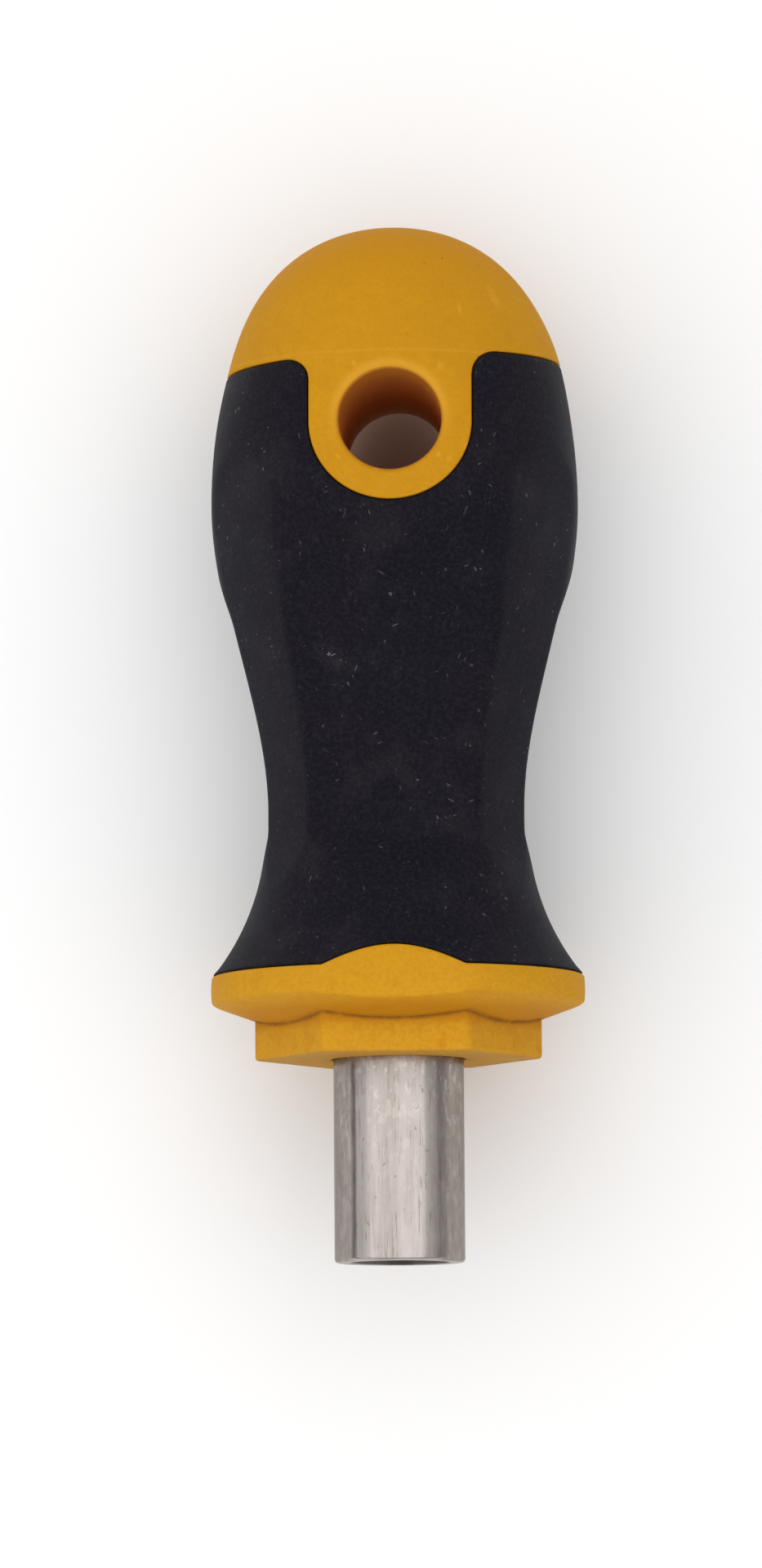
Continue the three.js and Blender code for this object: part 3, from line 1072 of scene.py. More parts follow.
class SharedEffects:
    """The effects that more than one finish uses, each built once as a node group.

    A group's scale comes from its inputs, so the scale in FINE and BROAD isn't used.
    """

    FINE = Noise(1.0, 4.0, 0.62)
    BROAD = Noise(1.0)
    BROAD_SHARE = 0.6
    RAGGED = Bend(5.0, 0.45)
    CURLY = Bend(0.5, 0.9)
    COARSE_SPECKS = (1.1, (0.03, 0.14), Channel.GREEN)
    FINE_SPECKS = (2.6, (0.04, 0.17), Channel.BLUE)
    FINE_SPECK_SHARE = 0.6
    HAIR_SCALE = 0.8
    HAIR_RADII = (0.05, 0.19)
    HAIRS = (
        Hairs(Channel.GREEN, 25, (4.2, 0.6, 2.0)),
        Hairs(Channel.BLUE, 68, (4.4, 0.9, 1.6)),
        Hairs(Channel.RED, 118, (3.6, 0.5, 2.4)),
        Hairs(Channel.GREEN, 160, (4.0, 1.1, 2.0)),
    )
    HANDLING = Noise(0.9, 4.0)
    HOLLOW = Ramp(0.43, 0.48, 1.0, 0.0)
    BROKEN = Ramp(0.3, 0.6, 0.35, 1.0)

    def __init__(self) -> None:
        """Builds the groups."""
        self.grain = self.build_grain()
        self.dust = self.build_dust()
        self.wear = self.build_wear()

    def build_grain(self) -> bpy.types.NodeTree:
        """Fine spark-eroded grain with a broader unevenness.

        Returns:
            A group with Size and Waves inputs and Height and Tone outputs.
        """
        outputs = ["Height", "Tone"]
        sheet, given, out = shared_group("moulded_grain", {"Size": 5.0, "Waves": 0.25}, outputs)
        fine = sheet.noise(self.FINE, given.outputs["Size"])
        broad = sheet.noise(self.BROAD, given.outputs["Waves"])
        sheet.put(out.inputs["Height"], sheet.math("MULTIPLY_ADD", broad, self.BROAD_SHARE, fine))
        sheet.put(out.inputs["Tone"], broad)
        return sheet.tree

    def build_dust(self) -> bpy.types.NodeTree:
        """Pale specks and short fibres that lie on a surface.

        Returns:
            A group with Specks and Fibres inputs and a Mask output.
        """
        inputs = {"Specks": 0.1, "Fibres": 0.1}
        sheet, given, out = shared_group("dust_and_fibres", inputs, ["Mask"])
        ragged = sheet.bent(sheet.places((1, 1, 1)), self.RAGGED)
        scale, radii, channel = self.COARSE_SPECKS
        mask = sheet.scattered(ragged, scale, given.outputs["Specks"], radii, channel)
        scale, radii, channel = self.FINE_SPECKS
        fine = sheet.scattered(ragged, scale, given.outputs["Specks"], radii, channel)
        mask = sheet.math("MAXIMUM", mask, sheet.times(fine, self.FINE_SPECK_SHARE))
        for channel, degrees, stretch in self.HAIRS:
            curly = sheet.bent(sheet.places(stretch, math.radians(degrees)), self.CURLY)
            share = given.outputs["Fibres"]
            hairs = sheet.scattered(curly, self.HAIR_SCALE, share, self.HAIR_RADII, channel)
            mask = sheet.math("MAXIMUM", mask, hairs)
        sheet.put(out.inputs["Mask"], mask)
        return sheet.tree

    def build_wear(self) -> bpy.types.NodeTree:
        """Edges that handling has worn, and hollows darkened partly by soiling and partly by painted
        shade, broken up by noise.

        Returns:
            A group with Low and High inputs for how sharp an edge has to be, and Mask and
            Hollow outputs.
        """
        inputs = {"Low": 0.52, "High": 0.6}
        sheet, given, out = shared_group("edge_wear", inputs, ["Mask", "Hollow"])
        shape = sheet.add("ShaderNodeNewGeometry")
        noise = sheet.noise(self.HANDLING)
        sharp = shape.outputs["Pointiness"]
        edge = sheet.ramp(sharp, given.outputs["Low"], given.outputs["High"])
        sheet.put(out.inputs["Mask"], sheet.times(edge, noise))
        # Hollows darkened partly by soiling and partly by painted shade.
        hollow = sheet.times(sheet.ramp(sharp, *self.HOLLOW), sheet.ramp(noise, *self.BROKEN))
        sheet.put(out.inputs["Hollow"], hollow)
        return sheet.tree


def new_material(name: str) -> tuple[bpy.types.Material, NodeSheet, bpy.types.Node]:
    """Starts a material with nodes.

    Args:
        name: name of the material.

    Returns:
        The material, its sheet and its Principled shader.
    """
    material = bpy.data.materials.new(name)
    material.use_nodes = True
    sheet = NodeSheet(material.node_tree, column=3)
    shader = next(n for n in material.node_tree.nodes if n.type == "BSDF_PRINCIPLED")
    shader.location = SHADER_PLACE
    return material, sheet, shader


def cover(piece: bpy.types.Object, material: bpy.types.Material) -> None:
    """Gives every face of a piece one material, without touching its mesh's shape.

    Args:
        piece: the piece.
        material: the material.
    """
    if not piece.material_slots:
        piece.data.materials.append(material)
    for slot in piece.material_slots:
        slot.link = "OBJECT"
        slot.material = material


@dataclass(frozen=True)
class YellowPlastic:
    """Hard yellow-orange moulded plastic with a satin grain, a little soiling, and painted light and
    shade.

    Places are the row frame's, in millimetres: those along the tool run from the nose at -41.5
    to the dome at 41.5, and heights start at the surface that it lies on. The colours come
    first, and then what each layer needs.
    """

    base: Color = (0.605, 0.282, 0.009)
    deep: Color = (0.565, 0.255, 0.008)
    pore: Color = (0.50, 0.222, 0.008)
    # Painted light on the nose end.
    nose_light: Color = (0.665, 0.330, 0.019)
    # Painted shade on the dome's end.
    dome_shade: Color = (0.585, 0.252, 0.007)
    # Used for dirt on the handled nose end and for painted shade under the rim.
    grubby_and_shade: Color = (0.50, 0.19, 0.006)
    # Used for dark specks, and for soiling mixed with painted shade in hollows and in the corner
    # behind the collar.
    grime_and_shade: Color = (0.20, 0.078, 0.012)
    # Used for worn edges, and for painted highlights over and round the hole.
    rubbed_and_highlight: Color = (0.70, 0.34, 0.03)
    # Painted shade and light on the hole's wall: darker at its mouth, lighter and redder deeper in,
    # pale at its far end.
    inside: Color = (0.52, 0.195, 0.022)
    hole_deep_glow: Color = (0.80, 0.35, 0.10)
    hole_far_light: Color = (0.82, 0.56, 0.38)
    # Painted shade on the collar's front face.
    collar_face_shade: Color = (0.36, 0.20, 0.07)

    grain_size: float = 7.0
    grain_waves: float = 0.12
    clouds: Noise = Noise(0.8, 6.0, 0.7)
    tone: Ramp = Ramp(0.75, 1.25)
    nose_end: Ramp = Ramp(-24.0, -14.0, 0.75, 0.0)
    dome_shade_end: Ramp = Ramp(32.5, 38.5, 0.0, 0.7)
    pores: Noise = Noise(3.0, 3.0, 0.75)
    pore_share: Ramp = Ramp(0.42, 0.64, 0.0, 0.4)

    rim_from: Ramp = Ramp(-23.4, -22.5)
    rim_to: Ramp = Ramp(-22.0, -21.0, 0.7, 0.0)
    blotches: Noise = Noise(0.55, 6.0, 0.65, bend=Bend(0.7, 1.0))
    handled: Ramp = Ramp(0.5, 0.66)
    handled_share: float = 0.45
    collar_face: Ramp = Ramp(-25.33, -25.1, 0.45, 0.0)
    face_patches: Ramp = Ramp(0.3, 0.6, 0.5, 1.0)

    line_place: float = 29.9
    line: Ramp = Ramp(0.04, 0.2, 0.22, 0.0)
    hole_place: float = HandleForm.hole_height - Resting.half_length
    hole_highlight_ring: Ramp = Ramp(4.5, 5.2, 0.6, 0.0)
    hole_top: Ramp = Ramp(-3.0, 3.0)
    hole_wall: Ramp = Ramp(4.1, 4.25, 1.0, 0.0)
    hole_depth: Ramp = Ramp(27.5, 15.0)
    hole_end: Ramp = Ramp(7.0, 0.8)

    axis_height: float = Resting.axis_height
    cone_slope: float = 0.364
    cone_place: float = -26.3
    crease_along: Ramp = Ramp(0.03, 0.4, 1.0, 0.0)
    crease_across: Ramp = Ramp(10.12, 10.6, 1.0, 0.0)
    crease_patches: Ramp = Ramp(0.35, 0.6, 0.12, 0.5)
    edge_low: float = 0.545
    edge_high: float = 0.63
    edge_share: float = 0.75
    hollow_share: float = 0.85
    spots: Specks = Specks(0.7, 0.14, 0.03, 0.09, Channel.RED, Bend(5.0, 0.4))
    spot_share: float = 0.55

    roughness: Ramp = Ramp(0.3, 0.7, 0.67, 0.78)
    specular: float = 0.08
    relief: float = 0.25
    relief_depth: float = 0.02

    def moulded(self, paint: Paint, along: object) -> None:
        """Paints light on the nose end and shade on the dome's end, and opens fine pores.

        Args:
            paint: the colour so far.
            along: the coordinate along the tool, in millimetres.
        """
        sheet = paint.sheet
        # Painted light: the nose end is made lighter and yellower.
        paint.layer(sheet.ramp(along, *self.nose_end), self.nose_light)
        # Painted shade: the dome's end is made deeper and darker.
        paint.layer(sheet.ramp(along, *self.dome_shade_end), self.dome_shade)
        paint.layer(sheet.ramp(sheet.noise(self.pores), *self.pore_share), self.pore)

    def lug(self, paint: Paint, place: bpy.types.Node) -> None:
        """Adds a painted highlight along a line over the hole and round the upper half of its rim,
        and painted light and shade on the hole's wall.

        Args:
            paint: the colour so far.
            place: the node that gives the three coordinates.
        """
        sheet = paint.sheet
        along = place.outputs["Y"]
        # Painted highlight along a line above the hole, where the dome's slope meets the lug's face.
        paint.layer(sheet.ramp(sheet.apart(along, self.line_place), *self.line), self.rubbed_and_highlight)
        # Painted highlight round the upper half of the hole's rim.
        above = sheet.math("SUBTRACT", along, self.hole_place)
        away = sheet.length(place.outputs["X"], above)
        ring = sheet.times(sheet.ramp(away, *self.hole_highlight_ring), sheet.ramp(above, *self.hole_top))
        paint.layer(ring, self.rubbed_and_highlight)
        # Painted light and shade on the hole's wall, by depth.
        deep = sheet.ramp(place.outputs["Z"], *self.hole_depth)
        end = sheet.ramp(place.outputs["Z"], *self.hole_end)
        wall = sheet.blend(end, sheet.blend(deep, self.inside, self.hole_deep_glow), self.hole_far_light)
        paint.layer(sheet.ramp(away, *self.hole_wall), wall)

    def crease(self, sheet: NodeSheet, place: bpy.types.Node) -> bpy.types.NodeSocket:
        """A mask of the corner where the collar's six sides meet the cone under the rim.

        Args:
            sheet: the sheet to add to.
            place: the node that gives the three coordinates.

        Returns:
            The mask, 1 in the corner.
        """
        across = place.outputs["X"]
        upward = sheet.math("SUBTRACT", place.outputs["Z"], self.axis_height)
        cone = sheet.plus(sheet.times(sheet.length(across, upward), self.cone_slope), self.cone_place)
        near = sheet.ramp(sheet.apart(place.outputs["Y"], cone), *self.crease_along)
        reach = sheet.math("ABSOLUTE", upward)
        for slant in (SIXTH_TURN, -SIXTH_TURN):
            sloped = sheet.times(across, math.sin(slant))
            turned = sheet.plus(sheet.times(upward, math.cos(slant)), sloped)
            reach = sheet.math("MAXIMUM", reach, sheet.math("ABSOLUTE", turned))
        return sheet.times(near, sheet.ramp(reach, *self.crease_across))

    def dirt_and_shade(self, paint: Paint, place: bpy.types.Node, cloudy: object) -> None:
        """Soils the handled nose end in blotches, paints shade on the collar's front face in patches,
        and darkens the corner behind the collar with soiling and painted shade.

        Args:
            paint: the colour so far.
            place: the node that gives the three coordinates.
            cloudy: soft noise, which breaks up the soiling and painted shade in the corner.
        """
        sheet = paint.sheet
        along = place.outputs["Y"]
        blotches = sheet.noise(self.blotches)
        handled = sheet.times(sheet.ramp(blotches, *self.handled), sheet.ramp(along, *self.nose_end))
        paint.layer(sheet.times(handled, self.handled_share), self.grubby_and_shade)
        # Painted shade on the collar's front face, in patches.
        face = sheet.ramp(along, *self.collar_face)
        paint.layer(sheet.times(face, sheet.ramp(blotches, *self.face_patches)), self.collar_face_shade)
        # Soiling and painted shade in the corner behind the collar.
        patches = sheet.ramp(cloudy, *self.crease_patches)
        paint.layer(sheet.times(self.crease(sheet, place), patches), self.grime_and_shade)

    def material(self, effects: SharedEffects) -> bpy.types.Material:
        """Builds the material from the shared effects.

        Args:
            effects: the groups that all finishes share.

        Returns:
            The material.
        """
        material, sheet, shader = new_material("yellow_plastic")
        place = sheet.axes(sheet.places((1, 1, 1)))
        along = place.outputs["Y"]
        grain = sheet.group(effects.grain, size=self.grain_size, waves=self.grain_waves)
        cloudy = sheet.noise(self.clouds)
        tone = sheet.ramp(sheet.plus(grain.outputs["Tone"], cloudy), *self.tone)
        paint = Paint(sheet, sheet.blend(tone, self.deep, self.base))
        self.moulded(paint, along)
        # Painted shade on the cone under the rim.
        rim = sheet.times(sheet.ramp(along, *self.rim_from), sheet.ramp(along, *self.rim_to))
        paint.layer(rim, self.grubby_and_shade)
        self.lug(paint, place)
        self.dirt_and_shade(paint, place, cloudy)
        wear = sheet.group(effects.wear, low=self.edge_low, high=self.edge_high)
        paint.layer(sheet.times(wear.outputs["Mask"], self.edge_share), self.rubbed_and_highlight)
        # Painted shade with soiling in hollows.
        paint.layer(sheet.times(wear.outputs["Hollow"], self.hollow_share), self.grime_and_shade)
        paint.layer(sheet.times(sheet.specks(self.spots), self.spot_share), self.grime_and_shade)
        sheet.put(shader.inputs["Base Color"], paint.color)
        mottled = sheet.ramp(grain.outputs["Tone"], *self.roughness)
        sheet.put(shader.inputs["Roughness"], mottled)
        shader.inputs["Specular IOR Level"].default_value = self.specular
        sheet.relief(shader, grain.outputs["Height"], self.relief, self.relief_depth)
        return material


@dataclass(frozen=True)
class BlackRubber:
    """Matte black soft plastic with a purple-brown tone, a fine nap, dust and short fibres."""

    base: Color = (0.0060, 0.0050, 0.0102)
    warm: Color = (0.0082, 0.0067, 0.0108)
    velvet: Color = (0.0200, 0.0172, 0.0250)
    dust: Color = (0.16, 0.15, 0.155)
    scuff: Color = (0.03, 0.028, 0.032)

    grain_size: float = 9.0
    grain_waves: float = 0.1
    tone: Ramp = Ramp(0.35, 0.65)
    nap: Noise = Noise(3.0, 3.0, 0.75)
    nap_share: Ramp = Ramp(0.42, 0.64, 0.0, 0.5)
    edge_low: float = 0.57
    edge_high: float = 0.66
    edge_share: float = 0.6
    specks: float = 0.24
    fibres: float = 0.085
    haze: Noise = Noise(0.22, 5.0)
    haze_share: Ramp = Ramp(0.45, 0.75, 0.0, 0.04)
    lint_share: Ramp = Ramp(0.38, 0.7, 0.1, 0.75)

    roughness: Ramp = Ramp(0.3, 0.7, 0.67, 0.8)
    specular: float = 0.06
    sheen: float = 0.05
    sheen_roughness: float = 0.45
    relief: float = 0.35
    relief_depth: float = 0.03

    def material(self, effects: SharedEffects) -> bpy.types.Material:
        """Builds the material from the shared effects.

        Args:
            effects: the groups that all finishes share.

        Returns:
            The material.
        """
        material, sheet, shader = new_material("black_soft_grip")
        grain = sheet.group(effects.grain, size=self.grain_size, waves=self.grain_waves)
        tone = sheet.ramp(grain.outputs["Tone"], *self.tone)
        paint = Paint(sheet, sheet.blend(tone, self.base, self.warm))
        paint.layer(sheet.ramp(sheet.noise(self.nap), *self.nap_share), self.velvet)
        wear = sheet.group(effects.wear, low=self.edge_low, high=self.edge_high)
        paint.layer(sheet.times(wear.outputs["Mask"], self.edge_share), self.scuff)
        haze = sheet.noise(self.haze)
        paint.layer(sheet.ramp(haze, *self.haze_share), self.dust)
        lint = sheet.group(effects.dust, specks=self.specks, fibres=self.fibres)
        amount = sheet.ramp(haze, *self.lint_share)
        paint.layer(sheet.times(lint.outputs["Mask"], amount), self.dust)
        sheet.put(shader.inputs["Base Color"], paint.color)
        mottled = sheet.ramp(grain.outputs["Tone"], *self.roughness)
        sheet.put(shader.inputs["Roughness"], mottled)
        shader.inputs["Specular IOR Level"].default_value = self.specular
        shader.inputs["Sheen Weight"].default_value = self.sheen
        shader.inputs["Sheen Roughness"].default_value = self.sheen_roughness
        sheet.relief(shader, grain.outputs["Height"], self.relief, self.relief_depth)
        return material


@dataclass(frozen=True)
class DrawnSteel:
    """Steel with fine streaks along the tool, small pits, a little tarnishing at the sleeve's root,
    and painted shade on the sleeve's flanks and in its socket's mouth.

    Places are the row frame's, in millimetres. The field tarnish_and_shade_amount says how much of
    the sleeve's root tarnishing, of the painted shade on its flanks and of the painted shade in its
    socket's mouth a piece has.
    """

    name: str
    base: Color = (0.50, 0.449, 0.419)
    dull: Color = (0.385, 0.341, 0.312)
    pit: Color = (0.16, 0.13, 0.11)
    # Stains the sleeve's root, and also paints shade on its flanks.
    tarnish_and_shade: Color = (0.245, 0.212, 0.19)
    edge: Color = (0.7, 0.68, 0.66)
    bright: Color = (0.74, 0.70, 0.65)
    worn: Color = (0.75, 0.72, 0.69)
    # Painted shade in the socket's mouth.
    mouth_shade: Color = (0.035, 0.028, 0.025)
    roughness: float = 0.15
    streaks: float = 0.12
    tarnish_and_shade_amount: float = 0.0

    lines: Noise = Noise(3.2, 6.0, 0.7, along=0.03)
    broad: Noise = Noise(0.7, 5.0, along=0.2)
    bands: Noise = Noise(0.62, 2.0, along=0.015)
    line_share: float = 0.6
    band_share: float = 0.8
    tone: Ramp = Ramp(0.8, 1.16)

    flank_stretch: tuple[float, float, float] = (1, 0.3, 1)
    flank_bend: Bend = Bend(1.2, 0.5)
    flank_shade: Ramp = Ramp(3.2, 3.9)
    patches: Noise = Noise(1.6, 5.0, along=0.5)
    patch_share: Ramp = Ramp(0.35, 0.6, 0.7, 1.0)
    root_from: float = -29.0
    root_to: float = -25.4
    root_share: float = 0.6

    fleck_end: Ramp = Ramp(-36.0, -26.0, 0.08, 0.26)
    flecks: Noise = Noise(1.9, 5.0, along=0.5, bend=Bend(2.0, 0.4))
    fleck_from: float = 0.54
    fleck_to: float = 0.62
    scratches: Noise = Noise(2.2, 2.0, along=0.04, bend=Bend(0.5, 0.3))
    scratch_middle: float = 0.5
    scratch: Ramp = Ramp(0.006, 0.026, 1.0, 0.0)
    breaks: Noise = Noise(0.8, 4.0, along=0.7)
    break_share: Ramp = Ramp(0.45, 0.6, 0.0, 0.5)
    pits: Noise = Noise(2.4, 3.0, along=0.6)
    pit_share: Ramp = Ramp(0.64, 0.74, 0.0, 0.5)
    dents: Specks = Specks(1.2, 0.3, 0.04, 0.12, Channel.RED, Bend(4.0, 0.5), along=0.7)
    dent_share: float = 0.6
    edge_low: float = 0.52
    edge_high: float = 0.6
    edge_share: float = 0.5
    axis_height: float = Resting.axis_height
    mouth_from: float = 3.92
    mouth_to: float = 4.05

    rough_from: float = 0.35
    rough_to: float = 0.65
    peel: Noise = Noise(1.4, 5.0, 0.6, along=0.7)
    peel_lines: float = 0.4
    relief: float = 0.45
    relief_depth: float = 0.012

    def shade_flanks_and_stain_root(self, paint: Paint, along: object) -> None:
        """Paints shade on the flanks of the sleeve and stains its root at the collar, in patches.

        Args:
            paint: the colour so far.
            along: the coordinate along the tool, in millimetres.
        """
        sheet = paint.sheet
        # Painted shade: dark bands along both flanks of the sleeve.
        bent = sheet.axes(sheet.bent(sheet.places(self.flank_stretch), self.flank_bend))
        flank_shade = sheet.ramp(sheet.math("ABSOLUTE", bent.outputs["X"]), *self.flank_shade)
        patchy = sheet.ramp(sheet.noise(self.patches), *self.patch_share)
        paint.layer(sheet.times(sheet.times(flank_shade, patchy), self.tarnish_and_shade_amount), self.tarnish_and_shade)
        root = sheet.ramp(along, self.root_from, self.root_to, 0.0, self.tarnish_and_shade_amount * self.root_share)
        paint.layer(sheet.times(root, patchy), self.tarnish_and_shade)

    def marks(self, paint: Paint, along: object) -> None:
        """Adds bright flecks near the root, broken scratches, pits and small dents.

        Args:
            paint: the colour so far.
            along: the coordinate along the tool, in millimetres.
        """
        sheet = paint.sheet
        upper = sheet.ramp(along, *self.fleck_end)
        flecks = sheet.ramp(sheet.noise(self.flecks), self.fleck_from, self.fleck_to, 0.0, upper)
        paint.layer(flecks, self.bright)
        off_middle = sheet.apart(sheet.noise(self.scratches), self.scratch_middle)
        broken = sheet.ramp(sheet.noise(self.breaks), *self.break_share)
        paint.layer(sheet.times(sheet.ramp(off_middle, *self.scratch), broken), self.pit)
        paint.layer(sheet.ramp(sheet.noise(self.pits), *self.pit_share), self.pit)
        paint.layer(sheet.times(sheet.specks(self.dents), self.dent_share), self.pit)

    def material(self, effects: SharedEffects) -> bpy.types.Material:
        """Builds the material from the shared effects.

        Args:
            effects: the groups that all finishes share.

        Returns:
            The material.
        """
        material, sheet, shader = new_material(self.name)
        place = sheet.axes(sheet.places((1, 1, 1)))
        lines = sheet.noise(self.lines)
        fine = sheet.times(sheet.plus(lines, sheet.noise(self.broad)), self.line_share)
        bands = sheet.times(sheet.noise(self.bands), self.band_share)
        tone = sheet.ramp(sheet.plus(fine, bands), *self.tone)
        paint = Paint(sheet, sheet.blend(tone, self.dull, self.base))
        self.shade_flanks_and_stain_root(paint, place.outputs["Y"])
        self.marks(paint, place.outputs["Y"])
        wear = sheet.group(effects.wear, low=self.edge_low, high=self.edge_high)
        paint.layer(sheet.times(wear.outputs["Mask"], self.edge_share), self.worn)
        # Painted shade inside the socket's mouth.
        upward = sheet.math("SUBTRACT", place.outputs["Z"], self.axis_height)
        reach = sheet.length(place.outputs["X"], upward)
        paint.layer(sheet.ramp(reach, self.mouth_from, self.mouth_to, self.tarnish_and_shade_amount, 0.0), self.mouth_shade)
        sheet.put(shader.inputs["Base Color"], paint.color)
        shader.inputs["Specular Tint"].default_value = (*self.edge, 1.0)
        shader.inputs["Metallic"].default_value = 1.0
        dull = self.roughness + self.streaks
        rough = sheet.ramp(lines, self.rough_from, self.rough_to, dull, self.roughness)
        sheet.put(shader.inputs["Roughness"], rough)
        height = sheet.plus(sheet.times(lines, self.peel_lines), sheet.noise(self.peel))
        sheet.relief(shader, height, self.relief, self.relief_depth)
        return material


def report(piece: bpy.types.Object) -> None:
    """Logs a finished piece's name, size, triangles and open edges.

    Args:
        piece: the piece.
    """
    size = [round(length / MM, 2) for length in piece.dimensions]
    triangles = sum(len(face.vertices) - 2 for face in piece.data.polygons)
    gaps = open_edges(piece)
    LOG.info("%s: %s mm, %d triangles, %d open edges", piece.name, size, triangles, gaps)


def hand_over(piece: bpy.types.Object, node: str) -> None:
    """Puts a finished piece in the place of its CAD node.

    Args:
        piece: the piece.
        node: name of the CAD node.
    """
    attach(piece, "root")
    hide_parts(node)


@dataclass
class HandleCore:
    """Hard plastic core: collar, flange, the body under the grip, the lug and the dome."""

    form: HandleForm
    seam: SeamLoops
    resting: Resting
    collar_front: float = 16.16
    collar_apothem: float = 10.0
    corner_blend: float = 0.5
    collar_edge: float = 0.28
    bore_radius: float = 5.32
    bore_lip: float = 0.15
    bore_end: float = 25.16
    seam_edge: float = 0.14
    wall: float = 2.2
    seat_rows: int = 5
    lip_rows: int = 3
    face_rows: int = 7
    edge_rows: int = 5
    side_rows: int = 9
    cone_rows: int = 26
    pad_rows: int = 18
    seam_rows: int = 4
    trunk_rows: int = 13
    trunk_sweep: float = 3.0
    dome_rows: int = 46
    patch_rows: int = 12
    rim_rows: int = 8
    bore_rows: int = 22

    def collar_radius(self, angle: Array) -> Array:
        """Radius of the hexagon collar at an angle, with its corners rounded.

        Args:
            angle: angles round the axis, from the front.

        Returns:
            The radii.
        """
        off = np.abs(from_nearest(angle, SIXTH_TURN))
        near = self.collar_apothem / np.cos(off)
        far = self.collar_apothem / np.cos(SIXTH_TURN - off)
        return soft_min(near, far, self.corner_blend)

    def bore_loops(self) -> list[Loop]:
        """Rows from the middle of the sleeve's seat out to the collar's front face.

        Returns:
            The rows, in that order.
        """
        angle = self.seam.angles
        rows = [Loop.polar(angle, np.zeros_like(angle), self.bore_end)]
        lip = self.collar_front + self.bore_lip
        for height in np.linspace(self.bore_end, lip, self.seat_rows):
            rows.append(Loop.polar(angle, self.bore_radius, height))
        for inset, depth in edge_round(self.bore_lip, self.lip_rows)[-2::-1]:
            rows.append(Loop.polar(angle, self.bore_radius + inset, self.collar_front + depth))
        return rows

    def collar_loops(self) -> list[Loop]:
        """Rows over the collar's front face and up its six sides to the cone.

        Returns:
            The rows, in that order.
        """
        form = self.form
        angle = self.seam.angles
        side = self.collar_radius(angle)
        inner = self.bore_radius + self.bore_lip
        rows = []
        for share in np.linspace(0, 1, self.face_rows + 1)[1:-1]:
            radius = inner + (side - self.collar_edge - inner) * share
            rows.append(Loop.polar(angle, radius, self.collar_front))
        for depth, inset in edge_round(self.collar_edge, self.edge_rows)[::-1]:
            rows.append(Loop.polar(angle, side - inset, self.collar_front + depth))
        foot = self.collar_front + self.collar_edge
        cone = form.rim_front - (form.rim_radius - side) * form.underside_slope
        for share in np.linspace(0, 1, self.side_rows + 1)[1:]:
            rows.append(Loop.polar(angle, side, foot + (cone - foot) * share))
        return rows

    def flange_loops(self) -> list[Loop]:
        """Rows along the cone under the rim, over the rim and up the pads to the seam.

        Returns:
            The rows, in that order.
        """
        form = self.form
        angle = self.seam.angles
        side = self.collar_radius(angle)
        start = form.rim_front - (form.rim_radius - side) * form.underside_slope
        full = form.rim_front + form.rim_blend / 2
        rows = []
        for share in np.linspace(0, 1, self.cone_rows + 1)[1:]:
            height = start + (full - start) * share
            rows.append(Loop.polar(angle, form.lower_radius(angle, height), height))
        foot = form.seam_foot(angle) - self.seam_edge
        for share in np.linspace(0, 1, self.pad_rows + 1)[1:-1]:
            height = full + (foot - full) * share
            rows.append(Loop.polar(angle, form.lower_radius(angle, height), height))
        for inset, depth in edge_round(self.seam_edge, self.seam_rows):
            height = form.seam_foot(angle) - inset
            rows.append(Loop.polar(angle, form.lower_radius(angle, height) - depth, height))
        return rows

    def trunk_loops(self) -> list[Loop]:
        """Rows inside the grip, from the lower seam's wall to the upper one's.

        Returns:
            The rows, in that order.
        """
        form = self.form
        angle = self.seam.angles
        height = form.seam_foot(angle)
        low = Loop.polar(angle, form.lower_radius(angle, height) - self.wall, height)
        high = self.seam.loop(0, self.wall)
        turn = from_nearest(high.angle - angle, FULL_TURN)
        rows = [low]
        for share in np.linspace(0, 1, self.trunk_rows + 1)[1:-1]:
            there = angle + turn * share**self.trunk_sweep
            level = height + (high.height - height) * share
            rows.append(Loop.polar(there, form.radius(there, level) - self.wall, level))
        return [*rows, high]

    def seam_loops(self) -> list[Loop]:
        """Rows out of the upper seam's wall and round its edge."""
        edge = edge_round(self.seam_edge, self.seam_rows)
        return [self.seam.loop(-inset, depth) for inset, depth in edge[::-1]]

    def dome_loops(self) -> list[Loop]:
        """Rows from just above the upper seam to the top of the dome.

        Returns:
            The rows, in that order.
        """
        foot = self.seam.dome_foot(-self.seam_edge)
        along, radii, heights = self.form.meridian(float(foot.height.min()))
        start = np.interp(foot.height, heights, along)
        rows = [foot]
        for share in np.linspace(0, 1, self.dome_rows + 1)[1:]:
            there = start + (along[-1] - start) * share
            radius = np.interp(there, along, radii)
            rows.append(Loop.polar(foot.angle, radius, np.interp(there, along, heights)))
        return rows

    def hole_face(self, side: Side) -> list[Loop]:
        """Rows over one side of the lug, from its border in to the hole and round its rim.

        Args:
            side: the side, front or back.

        Returns:
            The rows, in that order.
        """
        form = self.form
        border_across, border_height = self.seam.hole_border(-self.seam_edge)
        turn = np.arctan2(border_height - form.hole_height, border_across)
        rows = []
        outer = form.hole_radius + form.hole_rim
        for share in np.linspace(0, 1, self.patch_rows + 1):
            across = border_across + (outer * np.cos(turn) - border_across) * share
            ring_height = form.hole_height + outer * np.sin(turn)
            height = border_height + (ring_height - border_height) * share
            rows.append(Loop(across, side.value * form.face_distance(across, height), height))
        for inset, depth in edge_round(form.hole_rim, self.rim_rows)[1:]:
            reach = form.hole_radius + inset
            across = reach * np.cos(turn)
            height = form.hole_height + reach * np.sin(turn)
            front = form.face_distance(across, height) - depth
            rows.append(Loop(across, side.value * front, height))
        return rows

    def hole_loops(self) -> list[Loop]:
        """Rows over the lug's front, through the hanging hole and over its back.

        Returns:
            The rows, in that order.
        """
        front = self.hole_face(Side.FRONT)
        back = self.hole_face(Side.BACK)
        inside = between(front[-1], back[-1], np.linspace(0, 1, self.bore_rows + 1)[1:-1])
        return [*front, *inside, *back[::-1]]

